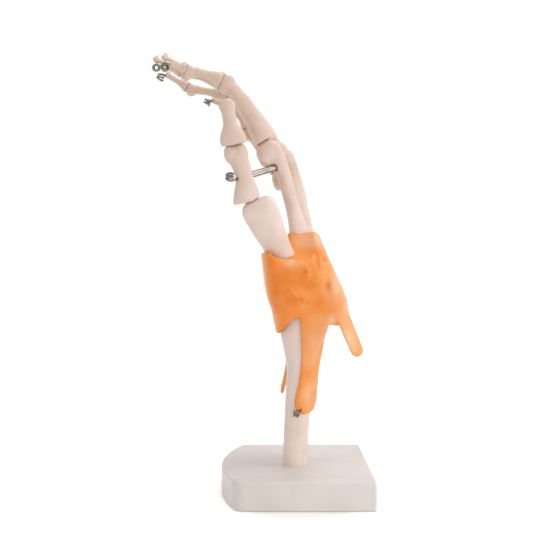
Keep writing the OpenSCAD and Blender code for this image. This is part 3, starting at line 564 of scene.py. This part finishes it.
# Wrist bones, as smooth pebbles: depth and width, lowest and highest level, middle in depth and across the wrist
CARPALS = {
    "scaphoid_bone": (*SCAPHOID, NEAR_LOW - 1, NEAR_HIGH, -1, SCAPHOID_Y),
    "lunate_bone": (*LUNATE, NEAR_LOW - 1, NEAR_HIGH, 0, LUNATE_Y),
    "triquetrum_bone": (*TRIQUETRUM, NEAR_LOW - 1, NEAR_HIGH, TRIQUETRUM_X, TRIQUETRUM_Y),
    "pisiform_bone": (*PISIFORM, PISIFORM_Z - PISIFORM_HALF, PISIFORM_Z + PISIFORM_HALF, PISIFORM_X, TRIQUETRUM_Y),
    "trapezium_bone": (*TRAPEZIUM, FAR_LOW, TRAPEZIUM_HIGH, TRAPEZIUM_X, TRAPEZIUM_Y),
    "trapezoid_bone": (*TRAPEZOID, FAR_LOW, FAR_HIGH, 1, TRAPEZOID_Y),
    "capitate_bone": (*CAPITATE, FAR_LOW, FAR_HIGH, 1.5, CAPITATE_Y),
    "hamate_bone": (*HAMATE, FAR_LOW, FAR_HIGH, 0, HAMATE_Y),
}
PEBBLE, PEBBLE_ROUND, CARPAL_LUMPS = 1.96, 0.62, (4, 0.5)


def carpal(name, seed):
    depth, width, low, high, x, y = CARPALS[name]
    solids = bmesh.new()
    size = Matrix.Diagonal((depth / 2, width / 2, (high - low) / 2, 1))
    place = Matrix.Translation((x, y, (low + high) / 2)) @ size
    bmesh.ops.create_cube(solids, size=PEBBLE)
    rounded(solids, list(solids.edges), PEBBLE_ROUND, 6)
    bmesh.ops.transform(solids, matrix=place, verts=solids.verts)
    data = fused(name, solids, [], voxel=0.5, softness=6)
    if low < NEAR_LOW:
        # The near row rolls in the radius, so it ends in a cylinder round the wrist axis
        for v in data.vertices:
            reach = math.hypot(v.co.x, v.co.z)
            if reach > WRIST_R:
                v.co.x, v.co.z = v.co.x * WRIST_R / reach, v.co.z * WRIST_R / reach
    uneven(data, *CARPAL_LUMPS, seed)
    piece = piece_from(name + "_surface", data, about_y(-CARPAL_LEAN), WRIST, bone_plastic)
    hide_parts(name)
    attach(piece, "hand")


for number, carpal_name in enumerate(CARPALS, 1):
    carpal(carpal_name, number)

# Line of the thumb's stay: from the index finger's palm bone, below and behind its head, past the middle of the thumb
STAY_BELOW, STAY_BEHIND, STAY_SHARE, STAY_BESIDE, STAY_PAST = 8.5, 4, 0.6, 1.7, 7.4
TUBE_START, TUBE_ROOM = 2.7, 1.9
STAY_FROM = joint(INDEX, 1) - STAY_BELOW * along(INDEX, 0) + STAY_BEHIND * behind(INDEX, 0)
THUMB_MIDDLE = joint(THUMB, 1) + STAY_SHARE * BONES[THUMB][1] * along(THUMB, 1)
STAY_TO = THUMB_MIDDLE + STAY_BESIDE * unit(np.cross(along(THUMB, 1), THUMB_MIDDLE - STAY_FROM))
STAY_WAY, STAY_REACH = unit(STAY_TO - STAY_FROM), np.linalg.norm(STAY_TO - STAY_FROM)


def stay_line(turn, place, start, end):
    """Two points on the stay's line, in the frame of a bone."""
    return [np.array(turn).T @ (STAY_FROM + t * STAY_WAY - place) for t in (start, end)]


# Palm bones: shaft set back from a round head with two lobes towards the palm. Widths of heads are shares of their
# radius. The last two are the gap that shows at a hinge, and half the length of the cut for the thumb's hinges.
PALM_HEAD, THUMB_HEAD, HEAD_POWER, HEAD_WIDTH, SEEN_GAP, HINGE_HALF = 2.0, 3.1, 4.0, 2.45, 0.37, 40


def metacarpal(d):
    turn, place = turned(d, 0), joint(d, 0)
    length, r = BONES[d][0], ROLLERS[d][0]
    width = r * (THUMB_HEAD if d == THUMB else PALM_HEAD)
    aside = -0.15 * r if d == THUMB else 0
    waist = [r * s for s in ((2.25, 1.65) if d == THUMB else (1.3, 1.2) if d == INDEX else (1.3, 1.4))]
    head = (width * 0.98, r * 1.9) if d == THUMB else (width * 0.85, r * 1.3)
    reach = (0.5, 0.8 if d == THUMB else 0.4)
    groove, power_of_head = (0.05, 3.2) if d == THUMB else (0.0, HEAD_POWER)
    solids = bmesh.new()
    rings(solids, shaft_rows(0, length, FEET[d], waist, head, r * PALM_BOW[d], flat=0.86, reach=reach,
                             drift=(PALM_SET[d], aside), ends=(0.86, 0.7)))
    roller(solids, length, r, width, groove, power_of_head, aside)
    if d != THUMB:
        for s in (-1, 1):
            knob(solids, (-0.42 * r, s * 0.25 * width, length - 0.4 * r), (0.55 * r, 0.45 * r, 0.6 * r))
    cuts = []
    if d == INDEX:
        cuts = [bmesh.new()]
        pin(cuts[0], *stay_line(turn, place, TUBE_START, STAY_REACH), TUBE_ROOM)
    bone(DIGITS[d] + "_metacarpal", solids, cuts, voxel=0.5, softness=8, turn=turn, place=place, seed=3 + d)


def hinge_room(d, k):
    """Room for the roller before this bone, in this bone's own frame."""
    r, room = ROLLERS[d][k - 1], bmesh.new()
    if d == THUMB:
        way = turned(d, k).T @ turned(d, k - 1)[:, 1]
        pin(room, HINGE_HALF * way, -HINGE_HALF * way, r + GAP, sides=72)
    else:
        roller(room, 0, r + SEEN_GAP, r * (PALM_HEAD if k == 1 else HEAD_WIDTH) + 2 * SEEN_GAP, 0, HEAD_POWER)
    return room


def mouth_size(d, k):
    """Width and depth of the bone that takes this roller."""
    r = ROLLERS[d][k]
    return (r * (2.45 if d == THUMB and k == 1 else 1.95) + 2.2, r * 1.55 + 2.2)


def phalanx(d, k, name):
    turn, place = turned(d, k), joint(d, k)
    length, r0, r1 = BONES[d][k], ROLLERS[d][k - 1], ROLLERS[d][k]
    width = r1 * (2.65 if d == THUMB else HEAD_WIDTH)
    z0 = r0 * (0.95 if k == 1 else 0.7)
    waist = [r1 * s for s in ((1.9, 1.6) if d == THUMB else (2, 2.45) if k == 1 else (1.75, 1.6))]
    solids = bmesh.new()
    rings(solids, shaft_rows(z0, length, mouth_size(d, k - 1), waist, (width * 0.86, r1 * 1.7), r1 * 0.28, flat=0.75,
                             ends=(0.9, 0.8), hold=0.06, sway=1.7 if d == THUMB else 0))
    roller(solids, length, r1 + 0.2, width, 0.13, HEAD_POWER)
    if d != THUMB:
        knob(solids, (0.62 * r1, 0, length - 1.15 * r1), (0.45 * r1, 0.95 * r1, 0.7 * r1))
        if k == 2:
            knob(solids, (0.78 * r0, 0, 0.95 * r0), (0.42 * r0, 0.7 * r0, 0.6 * r0))
    cuts = [hinge_room(d, k)]
    if d == THUMB:
        cuts.append(bmesh.new())
        pin(cuts[1], *stay_line(turn, place, 0, 2 * STAY_REACH), WIRE / 2 + PLAY)
    bone(f"{DIGITS[d]}_{name}_phalanx", solids, cuts, voxel=0.4 if k == 1 else 0.34, softness=6, turn=turn,
         place=place, seed=8 + d * 2 + k)


def loop_start(d):
    """Where the stem of a fingertip's wire meets its loops, in the frame of the last bone."""
    return np.array([-0.3 * ROLLERS[d][-1], 0, BONES[d][-1] - TIP_BACK[d]])


# Fingertips: waisted bone and a flat tuft with a small horn on its back edge
def distal(d):
    k = len(BONES[d]) - 1
    turn, place = turned(d, k), joint(d, k)
    length, r = BONES[d][k], ROLLERS[d][k - 1]
    z0, foot = r * (0.82 if d == THUMB else 0.62), mouth_size(d, k - 1)
    solids, cuts = bmesh.new(), [hinge_room(d, k)]
    if d == THUMB:
        rings(solids, shaft_rows(z0, length - 2, foot, (r * 1.5, r * 1.4), (r * 1.8, r * 1.2), r * 0.05,
                                 reach=(0.42, 0.3), ends=(0.62, 0.7), hold=0.17))
        knob(solids, (0.2, 0, length - 3.8), (3.1, 4.5, 3.8))
    else:
        over_loops = TIP_BACK[d] > 0
        end = length - TIP_BACK[d] - LOOP - WIRE / 2 - TIP_CLEAR if over_loops else length - 0.4 * r
        waist, tuft = (r * 1.45, r * 1.2), (r * 2.1, r * 1.1)
        rings(solids, shaft_rows(z0, end, foot, waist, tuft, r * 0.05, reach=(0.6, 0.4), ends=(0.94, 0.7)))
        if over_loops:
            rows = shaft_rows(end * 0.45, length, (r * 1.4, r * 0.9), (r * 1.7, r * 0.8), (r * 2.1, r * 0.7),
                              drift=(r * TUFT_LIFT, 0), ends=(0.9, 0.6))
            rings(solids, [(z, x + r * TUFT_LIFT, *rest) for z, x, *rest in rows])
            knob(solids, (0.46 * r, 0, length - 1.9), (0.5 * r, 1.1 * r, 2.1))
        else:
            knob(solids, (0.12 * r, 0, length - 1.6), (0.52 * r, 1.05 * r, 1.7))
        lift = 1.4 * TUFT_LIFT * r if over_loops else 0
        pin(solids, (lift + 0.1 * r, 0, length - 3), (lift + 0.85 * r, 0, length - 1), 0.9)
        knob(solids, (0.72 * r, 0, 1.15 * r), (0.5 * r, 0.8 * r, 0.7 * r))
        start = loop_start(d)
        cuts.append(bmesh.new())
        pin(cuts[1], start, start - length * about_y(-TIP_SLANT)[:, 2], WIRE / 2 + PLAY)
    bone(DIGITS[d] + "_distal_phalanx", solids, cuts, voxel=0.42 if d == THUMB else 0.3, softness=4, turn=turn,
         place=place, seed=20 + d)


for digit in range(5):
    metacarpal(digit)
    phalanx(digit, 1, "proximal")
    if digit != THUMB:
        phalanx(digit, 2, "middle")
    distal(digit)


# Steel wire ends: a straight stem, then loops that climb beside it. The wires are drawn a little off their true
# thickness, as they look in the photograph.
WIRE_SEEN, PIN_SEEN = 0.65, 0.48


def wire_end(node, stem, turn, place, seen=WIRE_SEEN):
    turns, steps, radius, apart = 1.75, 70, LOOP - 0.3, WIRE + 0.6
    mesh = bmesh.new()
    made = bmesh.ops.create_circle(mesh, cap_ends=True, segments=14, radius=seen)["verts"]
    bmesh.ops.translate(mesh, vec=(0, 0, -stem), verts=made)
    made = bmesh.ops.extrude_face_region(mesh, geom=list(mesh.faces))["geom"]
    bmesh.ops.translate(mesh, vec=(0, 0, stem), verts=[g for g in made if isinstance(g, bmesh.types.BMVert)])
    cap = next(g for g in made if isinstance(g, bmesh.types.BMFace))
    climb = apart * turns / steps
    made = bmesh.ops.spin(mesh, geom=[cap, *cap.edges, *cap.verts], cent=(-radius, 0, 0), axis=(0, 1, 0),
                          dvec=(0, climb, 0), angle=-2 * math.pi * turns, steps=steps)["geom_last"]
    cap = next(g for g in made if isinstance(g, bmesh.types.BMFace))
    mesh.normal_update()
    way = cap.normal.copy()
    for reach, size in ((0.85, 1), (0.15, 0.7)):
        made = bmesh.ops.extrude_face_region(mesh, geom=[cap])["geom"]
        cap = next(g for g in made if isinstance(g, bmesh.types.BMFace))
        middle = cap.calc_center_median()
        for v in cap.verts:
            v.co = middle + (v.co - middle) * size + way * WIRE * reach
    data = bpy.data.meshes.new(node)
    closed(mesh).to_mesh(data)
    mesh.free()
    piece = piece_from(node + "_round", data, turn, place, wire_steel)
    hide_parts(node)
    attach(piece, body_of(node))


for digit in range(1, 5):
    last = len(BONES[digit]) - 1
    tip_turn = turned(digit, last) @ about_y(-TIP_SLANT) @ about_z(TIP_TURNS[digit])
    tip_place = joint(digit, last) + turned(digit, last) @ loop_start(digit)
    tip_stem = (loop_start(digit)[2] - ROLLERS[digit][-1] - GAP) / math.cos(math.radians(TIP_SLANT)) - 0.2
    wire_end(DIGITS[digit] + "_tip_wire", tip_stem, tip_turn, tip_place)
stay_tilt = math.degrees(math.acos(STAY_WAY[2]))
stay_round = math.degrees(math.atan2(STAY_WAY[1], STAY_WAY[0]))
stay_turn = about_z(stay_round) @ about_y(stay_tilt) @ about_z(60)
stay_end = STAY_REACH + STAY_PAST
wire_end("thumb_stay_wire", stay_end - TUBE_START, stay_turn, STAY_FROM + stay_end * STAY_WAY)


# Ligament sheets: level from the wrist axis and reach of the outer face to the palm, back, thumb and little finger
PALMAR_PALM = [[-24, -17], [-16, -18.5], [-9, -20], [-3, -22], [4, -23.4], [11, -24.2], [22, -25.4]]
PALMAR_BACK = [[-24, 19], [-10, 21], [-3, 20], [4, 17.5], [11, 14.6], [22, 9.3]]
PALMAR_THUMB = [[-24, -23], [-13, -25.8], [-3, -30.5], [7, -35], [14, -37.5], [22, -38.5]]
DORSAL_PALM = [[-18, -17.5], [-9, -20], [-3, -22], [4, -23.4], [11, -24.2], [22, -19], [34, -13]]
DORSAL_BACK = [[-18, 22], [-10, 22.5], [-3, 21], [4, 18], [11, 14.6], [22, 9.8], [28, 7.5], [34, 5.7]]
DORSAL_THUMB = [[-24, -23], [-13, -25.8], [-3, -30.5], [7, -34.5], [14, -35.5], [22, -30], [34, -25]]
LITTLE_SIDE = [[-24, 24], [-3, 25.5], [12, 28], [22, 30.5], [34, 32.5]]
PALMAR_LOW = [[92, -16], [150, -21], [190, -22], [212, -21.8], [235, -19], [252, -15.8], [265.4, -12.8]]
PALMAR_HIGH = [[92, 18], [180, 21], [200, 21.3], [225, 21.6], [240, 20.4], [255, 18.9], [265.4, 18.3]]
DORSAL_LOW = [[263, -12.8], [274, -13], [280, -16.5], [290, -17.5], [330, -17], [360, -16], [450, -14]]
DORSAL_HIGH = [[236, 32.2], [300, 33], [320, 32.4], [340, 30.4], [360, 29], [450, 28]]
# Squareness of the section, thickness of the sheets and straps
SQUARE, SHEET, STRAP = 4.2, 2.2, 2.0
# Seam beside the thumb, in degrees, and dip of the back sheet after it, with its depth, reach, top and fade
SEAM, SEAM_OVER = 240, 24
DIP, DIP_FROM, DIP_OVER, DIP_TOP, DIP_FADE = 5, 266, 36, 16, 6
# Edges beside the thumb, as angles by share of the height: the sheets overlap there, and the back one reaches behind
# the thumb's palm bone
PALMAR_EDGES = [[0, 92]], [[0, 269]]
DORSAL_EDGES = [[0, 263], [0.6, 263], [0.75, 263], [0.85, 258], [1, 236]], [[0, 450]]


def table(at, rows):
    """Value between the rows of a table."""
    return float(np.interp(at, [r[0] for r in rows], [r[1] for r in rows]))


def power(c, p):
    """Power that keeps the sign."""
    return math.copysign(abs(c) ** p, c)


def eased(at, start, over):
    """0 up to a start, easing to 1 over a distance."""
    return 1 - flare(min(max((at - start) / over, 0), 1))


def thumb_side(a, z, rows):
    """Reach of a sheet to the thumb side: near the seam both sheets follow the back one."""
    share = eased(a, SEAM, SEAM_OVER)
    reach = table(z, rows) + share * (table(z, DORSAL_THUMB) - table(z, rows))
    if rows is DORSAL_THUMB:
        reach += DIP * flare(max(a - DIP_FROM, 0) / DIP_OVER) * eased(z, DIP_TOP, DIP_FADE)
    return reach


def sheet(mesh, edges, low, high, palm, back, thumb, columns=120, levels=44):
    """Curved plate between two edges: a flat grid bent round the wrist, then thickened."""
    made = bmesh.ops.create_grid(mesh, x_segments=columns, y_segments=levels, size=0.5)["verts"]
    for v in made:
        first, last = [table(v.co.y + 0.5, rows) for rows in edges]
        a = first + (last - first) * (v.co.x + 0.5)
        z = table(a, low) + (table(a, high) - table(a, low)) * (v.co.y + 0.5)
        x0, x1, y1 = [table(z, rows) for rows in (palm, back, LITTLE_SIDE)]
        y0 = thumb_side(a, z, thumb)
        c, s = math.cos(math.radians(a)), math.sin(math.radians(a))
        v.co = Vector(WRIST) + Vector(((x0 + x1) / 2 + (x1 - x0) / 2 * power(c, 2 / SQUARE),
                                       (y0 + y1) / 2 + (y1 - y0) / 2 * power(s, 2 / SQUARE), z))
    faces = list({f for v in made for f in v.link_faces})
    bmesh.ops.recalc_face_normals(mesh, faces=faces)
    middle = Vector(WRIST)
    if sum((f.calc_center_median() - middle).dot(f.normal) for f in faces) < 0:
        bmesh.ops.reverse_faces(mesh, faces=faces)
    bmesh.ops.solidify(mesh, geom=faces, thickness=SHEET)


def strap(mesh, path, widths, side, onto=None):
    """Flat strap along a path: an oval-edged section carried from point to point, bent onto a surface if given."""
    made = bmesh.ops.create_circle(mesh, cap_ends=True, segments=32, radius=1)["verts"]
    cap = made[0].link_faces[0]
    shape = [(power(v.co.x, 0.45), power(v.co.y, 0.7)) for v in cap.verts]
    for i, point in enumerate(path):
        if i:
            made = bmesh.ops.extrude_face_region(mesh, geom=[cap])["geom"]
            cap = next(g for g in made if isinstance(g, bmesh.types.BMFace))
        way = unit(np.array(path[min(i + 1, len(path) - 1)]) - np.array(path[max(i - 1, 0)]))
        out = unit(np.cross(way, side))
        across = np.cross(out, way)
        for v, (u, n) in zip(cap.verts, shape):
            v.co = Vector(np.array(point) + u * widths[i] / 2 * across + n * STRAP / 2 * out)
            if onto:
                v.co.y = onto(v.co.x, v.co.z) - STRAP / 2 * (1 + n)


# Dents and bumps that the bones press into the rubber: two ends in X and Z, spread and height, in millimetres
RELIEF = [
    ((5.2, 121.0), (6.4, 117.4), 1.0, 0.8), ((11.2, 127.5), (11.4, 122.4), 0.8, -0.9),
    ((14.6, 127.4), (15.4, 124.8), 1.1, -0.7), ((16.6, 116.0), (17.2, 107.8), 1.2, -1.0),
    ((-2.6, 110.6), (0.6, 105.4), 0.7, 0.7), ((2.3, 104.2), (2.4, 104.0), 0.8, -0.7),
    ((-11.2, 109.4), (-11.2, 109.2), 0.8, -0.5), ((-14.0, 120.0), (-15.5, 104.0), 2.4, 0.5),
    ((-6.0, 119.0), (-10.0, 111.0), 2.6, -0.7), ((8.0, 132.0), (13.0, 118.0), 2.2, 0.45),
    ((1.0, 130.0), (4.0, 138.0), 2.0, -0.4), ((19.5, 122.0), (22.0, 104.0), 1.8, 0.5),
]
WAVE, WAVE_HEIGHT, FACING_THUMB = 6, 0.18, -0.2


def pressed(spot, normal):
    """How far the rubber stands out or in at a point, where the bones press into it."""
    rise = WAVE_HEIGHT * noise.noise(spot / WAVE)
    if normal.y < FACING_THUMB:
        for (ax, az), (bx, bz), spread, height in RELIEF:
            wx, wz = bx - ax, bz - az
            t = min(max(((spot.x - ax) * wx + (spot.z - az) * wz) / (wx * wx + wz * wz), 0), 1)
            gap = (spot.x - ax - t * wx) ** 2 + (spot.z - az - t * wz) ** 2
            rise += height * math.exp(-gap / (2 * spread ** 2))
    return rise


def ligaments():
    solids, cuts = bmesh.new(), bmesh.new()
    palmar(solids)
    dorsal(solids, cuts)
    data = fused("wrist_ligaments", solids, [cuts], voxel=0.5, softness=5)
    moved_out(data, pressed)
    piece = piece_from("wrist_ligaments", data, np.eye(3), np.zeros(3), rubber)
    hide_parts("palmar_ligament", "dorsal_ligament")
    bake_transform(piece)


def smooth_rows(rows, count):
    """Points of a path eased through a few given ones."""
    rows = np.array(rows, float)
    out = []
    for i in range(count + 1):
        t = i / count * (len(rows) - 1)
        k = min(int(t), len(rows) - 2)
        u = t - k
        p0, p1, p2, p3 = [rows[min(max(j, 0), len(rows) - 1)] for j in (k - 1, k, k + 1, k + 2)]
        out.append(0.5 * (2 * p1 + (p2 - p0) * u + (2 * p0 - 5 * p1 + 4 * p2 - p3) * u ** 2
                          + (3 * p1 - p0 - 3 * p2 + p3) * u ** 3))
    return out


def radius_front(x, z):
    """Front of the radius, as far as its oval section reaches sideways."""
    t = min(max((z - BASE[2]) / (RADIUS_TOP - BASE[2]), 0), 1)
    near, far = flare(t / RADIUS_REACH[0]), flare((1 - t) / RADIUS_REACH[1])
    half, deep = [(waist + (foot - waist) * near + (end - waist) * far) / 2
                  for foot, waist, end in zip(RADIUS_FOOT, RADIUS_WAIST, RADIUS_END)]
    middle = RADIUS_AT[0] + RADIUS_DRIFT[0] * t + RADIUS_BOW * math.sin(math.pi * t)
    return RADIUS_AT[1] + RADIUS_DRIFT[1] * t - half * math.sqrt(max(1 - ((x - middle) / deep) ** 2, 0.1))


# Straps, from the wrist axis: level and middle of the long strap, and its widths; points of the thin strap with its
# widths; start, way and widths of the free tab; ways of the two round ends
STRAP_LINE = [[-7, 3.5], [-15, 3.2], [-23, 2.8], [-31, 2.2], [-39, 1.4], [-48, 0.4], [-56, -0.8], [-59.5, -1.5]]
STRAP_WIDTHS = [16.5, 15.6, 13.75, 11.9, 10.4, 10.7, 12, 11.8]
THIN_STRAP = [[-16.5, 3, -16, 8], [-12.4, 2, -24, 7], [-10.5, 0.4, -33, 6], [-11.1, 0, -42, 5.5], [-12.9, 0, -50, 5],
              [-13.6, 0, -53.5, 4.6]]
TAB_AT, TAB_WAY, TAB_WIDTH, TAB_NARROWING = np.array([16.9, -22.4, -9]), unit([0.36, -0.2, -0.91]), 9.4, 0.02
STRAP_END, THIN_END = (-0.22, 0, -0.97), (-0.2, 0, -0.98)
# The long strap leaves the bone for the sheet from this level on
STRAP_LEAVES, LEAVES_OVER, STRAP_GAP = -28, 9, 0.05
# Pin of the long strap: place on the radius, height of its loops over it and depth in the bone
PIN = np.array([WRIST[0] - 4.2, radius_front(RADIUS_AT[0] + 1.3, WRIST[2] - 63), WRIST[2] - 63])
RISE, PIN_DEEP = 0.35 + STRAP + WIRE + 0.25, 6


def strap_seat(x, z):
    """Where the back of the long strap lies: on the radius, and flush with the sheet above."""
    on_bone, level = radius_front(x, z) - STRAP_GAP, z - WRIST[2]
    share = eased(level, STRAP_LEAVES, LEAVES_OVER)
    return on_bone + share * (min(on_bone, table(level, DORSAL_THUMB) + STRAP) - on_bone)


def round_end(rows, way, width):
    """Adds the rounded end of a strap: place and width of each section."""
    last, half = np.array(rows[-1][:3]), width / 2
    for t in (0.3, 0.55, 0.75, 0.9, 0.98):
        rows.append([*(last + np.array(way) * half * t), width * math.sqrt(1 - t * t)])
    return rows


def palmar(solids):
    sheet(solids, PALMAR_EDGES, PALMAR_LOW, PALMAR_HIGH, PALMAR_PALM, PALMAR_BACK, PALMAR_THUMB)
    rows = round_end(smooth_rows(THIN_STRAP, 24), THIN_END, THIN_STRAP[-1][3])
    strap(solids, [WRIST + r[:3] for r in rows], [r[3] for r in rows], (0.35, 0.94, 0))


def dorsal(solids, cuts):
    sheet(solids, DORSAL_EDGES, DORSAL_LOW, DORSAL_HIGH, DORSAL_PALM, DORSAL_BACK, DORSAL_THUMB)
    rows = [[x, 0, z, width] for (z, x), width in zip(STRAP_LINE, STRAP_WIDTHS)]
    rows = round_end(smooth_rows(rows, 40), STRAP_END, rows[-1][3])
    strap(solids, [WRIST + r[:3] for r in rows], [r[3] for r in rows], (1, 0, 0), strap_seat)
    rows = [[*(TAB_AT + s * TAB_WAY), TAB_WIDTH - TAB_NARROWING * s] for s in range(0, 23, 2)]
    rows = round_end(rows, TAB_WAY, rows[-1][3])
    strap(solids, [WRIST + r[:3] for r in rows], [r[3] for r in rows], (0.85, 0.5, 0))
    pin(cuts, PIN + (0, 10, 0), PIN - (0, 20, 0), WIRE / 2 + PLAY)


ligaments()
wire_end("strap_wire", RISE + PIN_DEEP, about_x(90) @ about_z(75), PIN + RISE * about_x(90)[:, 2], PIN_SEEN)

# Straight wires and the tube keep their CAD shapes
for node, thing in frame["nodes"].items():
    if node == "metacarpal_wires" or node.endswith(("_proximal_wire", "_middle_wire", "thumb_tip_wire", "_tube")):
        thing.data.materials.clear()
        thing.data.materials.append(tube_steel if node.endswith("_tube") else wire_steel)


# Floor, light and camera. The floor glows for the camera, and less so close to the base: the dimmer glow there is
# painted shade round the base's foot, on top of its real shadow.
GLOW_AWAY, GLOW_CLOSE_PAINTED_SHADE = [0.9, 0.9, 0.9, 1], [0.2, 0.2, 0.2, 1]
SKY, SKY_LIGHT, SKY_SEEN = (1, 0.985, 0.97, 1), 0.63, 1.05
# Lamps: place and aim in metres, width and height, and power
LAMPS = {
    "front": ((0.4, -0.7, 0.08), (0, 0, 0.09), (0.6, 0.14), 1.1),
    "top": ((0.3, 0.1, 1.0), (0, 0, 0.12), (0.8, 0.6), 3.0),
    "left": ((-0.8, -0.5, 0.45), (0, 0, 0.13), (0.7, 0.7), 0.2),
    "right": ((0.9, -0.2, 0.35), (0, 0, 0.12), (0.6, 0.8), 1.1),
}
# Camera: place in metres, and focal length, shift and size of the picture in pixels
CAMERA_AT = (-0.0094, -0.545, 0.1182)
FOCAL, SHIFT, PICTURE, SENSOR = 988, -3.5, 555, 36


def seen_ray(tree):
    """1 for rays from the camera and for those that mirror or pass through towards the background."""
    path = tree.nodes.new("ShaderNodeLightPath")
    value = path.outputs["Is Camera Ray"]
    for ray in ("Is Glossy Ray", "Is Transmission Ray"):
        node = tree.nodes.new("ShaderNodeMath")
        node.operation = "MAXIMUM"
        tree.links.new(value, node.inputs[0])
        tree.links.new(path.outputs[ray], node.inputs[1])
        value = node.outputs["Value"]
    return value


def stage():
    mesh = bmesh.new()
    bmesh.ops.create_grid(mesh, x_segments=8, y_segments=8, size=6)
    data = bpy.data.meshes.new("floor")
    mesh.to_mesh(data)
    mesh.free()
    floor = bpy.data.objects.new("floor", data)
    scene.collection.objects.link(floor)
    look = Look("floor_white", 0.9, 0.1)
    look.base(look.ramp(look.noise(3, 1), (0.3, colour(234, 232, 230)), (0.7, colour(238, 236, 234))))
    tree = look.tree
    glow = tree.nodes.new("ShaderNodeEmission")
    glow.inputs["Color"].default_value = (1, 1, 1, 1)
    # Painted shade: the glow dims close to the base, darkening the floor round its foot
    painted_shade_round_base = look.near((3, -4, 0), (80, 138, 500))
    tree.links.new(look.ramp(painted_shade_round_base, (0, GLOW_AWAY), (0.34, GLOW_CLOSE_PAINTED_SHADE)), glow.inputs["Strength"])
    both, pick = tree.nodes.new("ShaderNodeAddShader"), tree.nodes.new("ShaderNodeMixShader")
    tree.links.new(look.shader.outputs["BSDF"], both.inputs[0])
    tree.links.new(glow.outputs["Emission"], both.inputs[1])
    tree.links.new(seen_ray(tree), pick.inputs["Fac"])
    tree.links.new(look.shader.outputs["BSDF"], pick.inputs[1])
    tree.links.new(both.outputs["Shader"], pick.inputs[2])
    tree.links.new(pick.outputs["Shader"], tree.nodes["Material Output"].inputs["Surface"])
    data.materials.append(look.material)
    world = bpy.data.worlds.new("studio")
    scene.world = world
    world.use_nodes = True
    nodes, links = world.node_tree.nodes, world.node_tree.links
    back = nodes["Background"]
    back.inputs["Color"].default_value = SKY
    back.inputs["Strength"].default_value = SKY_LIGHT
    seen = nodes.new("ShaderNodeBackground")
    seen.inputs["Color"].default_value = (1, 1, 1, 1)
    seen.inputs["Strength"].default_value = SKY_SEEN
    mix = nodes.new("ShaderNodeMixShader")
    links.new(seen_ray(world.node_tree), mix.inputs["Fac"])
    links.new(back.outputs["Background"], mix.inputs[1])
    links.new(seen.outputs["Background"], mix.inputs[2])
    links.new(mix.outputs["Shader"], nodes["World Output"].inputs["Surface"])


def area_light(name, place, aim, size, power):
    data = bpy.data.lights.new(name, "AREA")
    data.shape = "RECTANGLE"
    data.size, data.size_y = size
    data.energy = power
    thing = bpy.data.objects.new(name, data)
    scene.collection.objects.link(thing)
    thing.location = place
    thing.rotation_euler = (Vector(aim) - Vector(place)).to_track_quat("-Z", "Y").to_euler()


def camera():
    data = bpy.data.cameras.new("photo_camera")
    data.sensor_width = SENSOR
    data.lens = FOCAL / PICTURE * SENSOR
    data.shift_y = SHIFT / PICTURE
    data.clip_start = 0.01
    thing = bpy.data.objects.new("photo_camera", data)
    scene.collection.objects.link(thing)
    thing.location = CAMERA_AT
    thing.rotation_euler = (math.pi / 2, 0, 0)
    scene.camera = thing


stage()
for lamp, settings in LAMPS.items():
    area_light(lamp, *settings)
camera()
scene.view_settings.view_transform = "Standard"
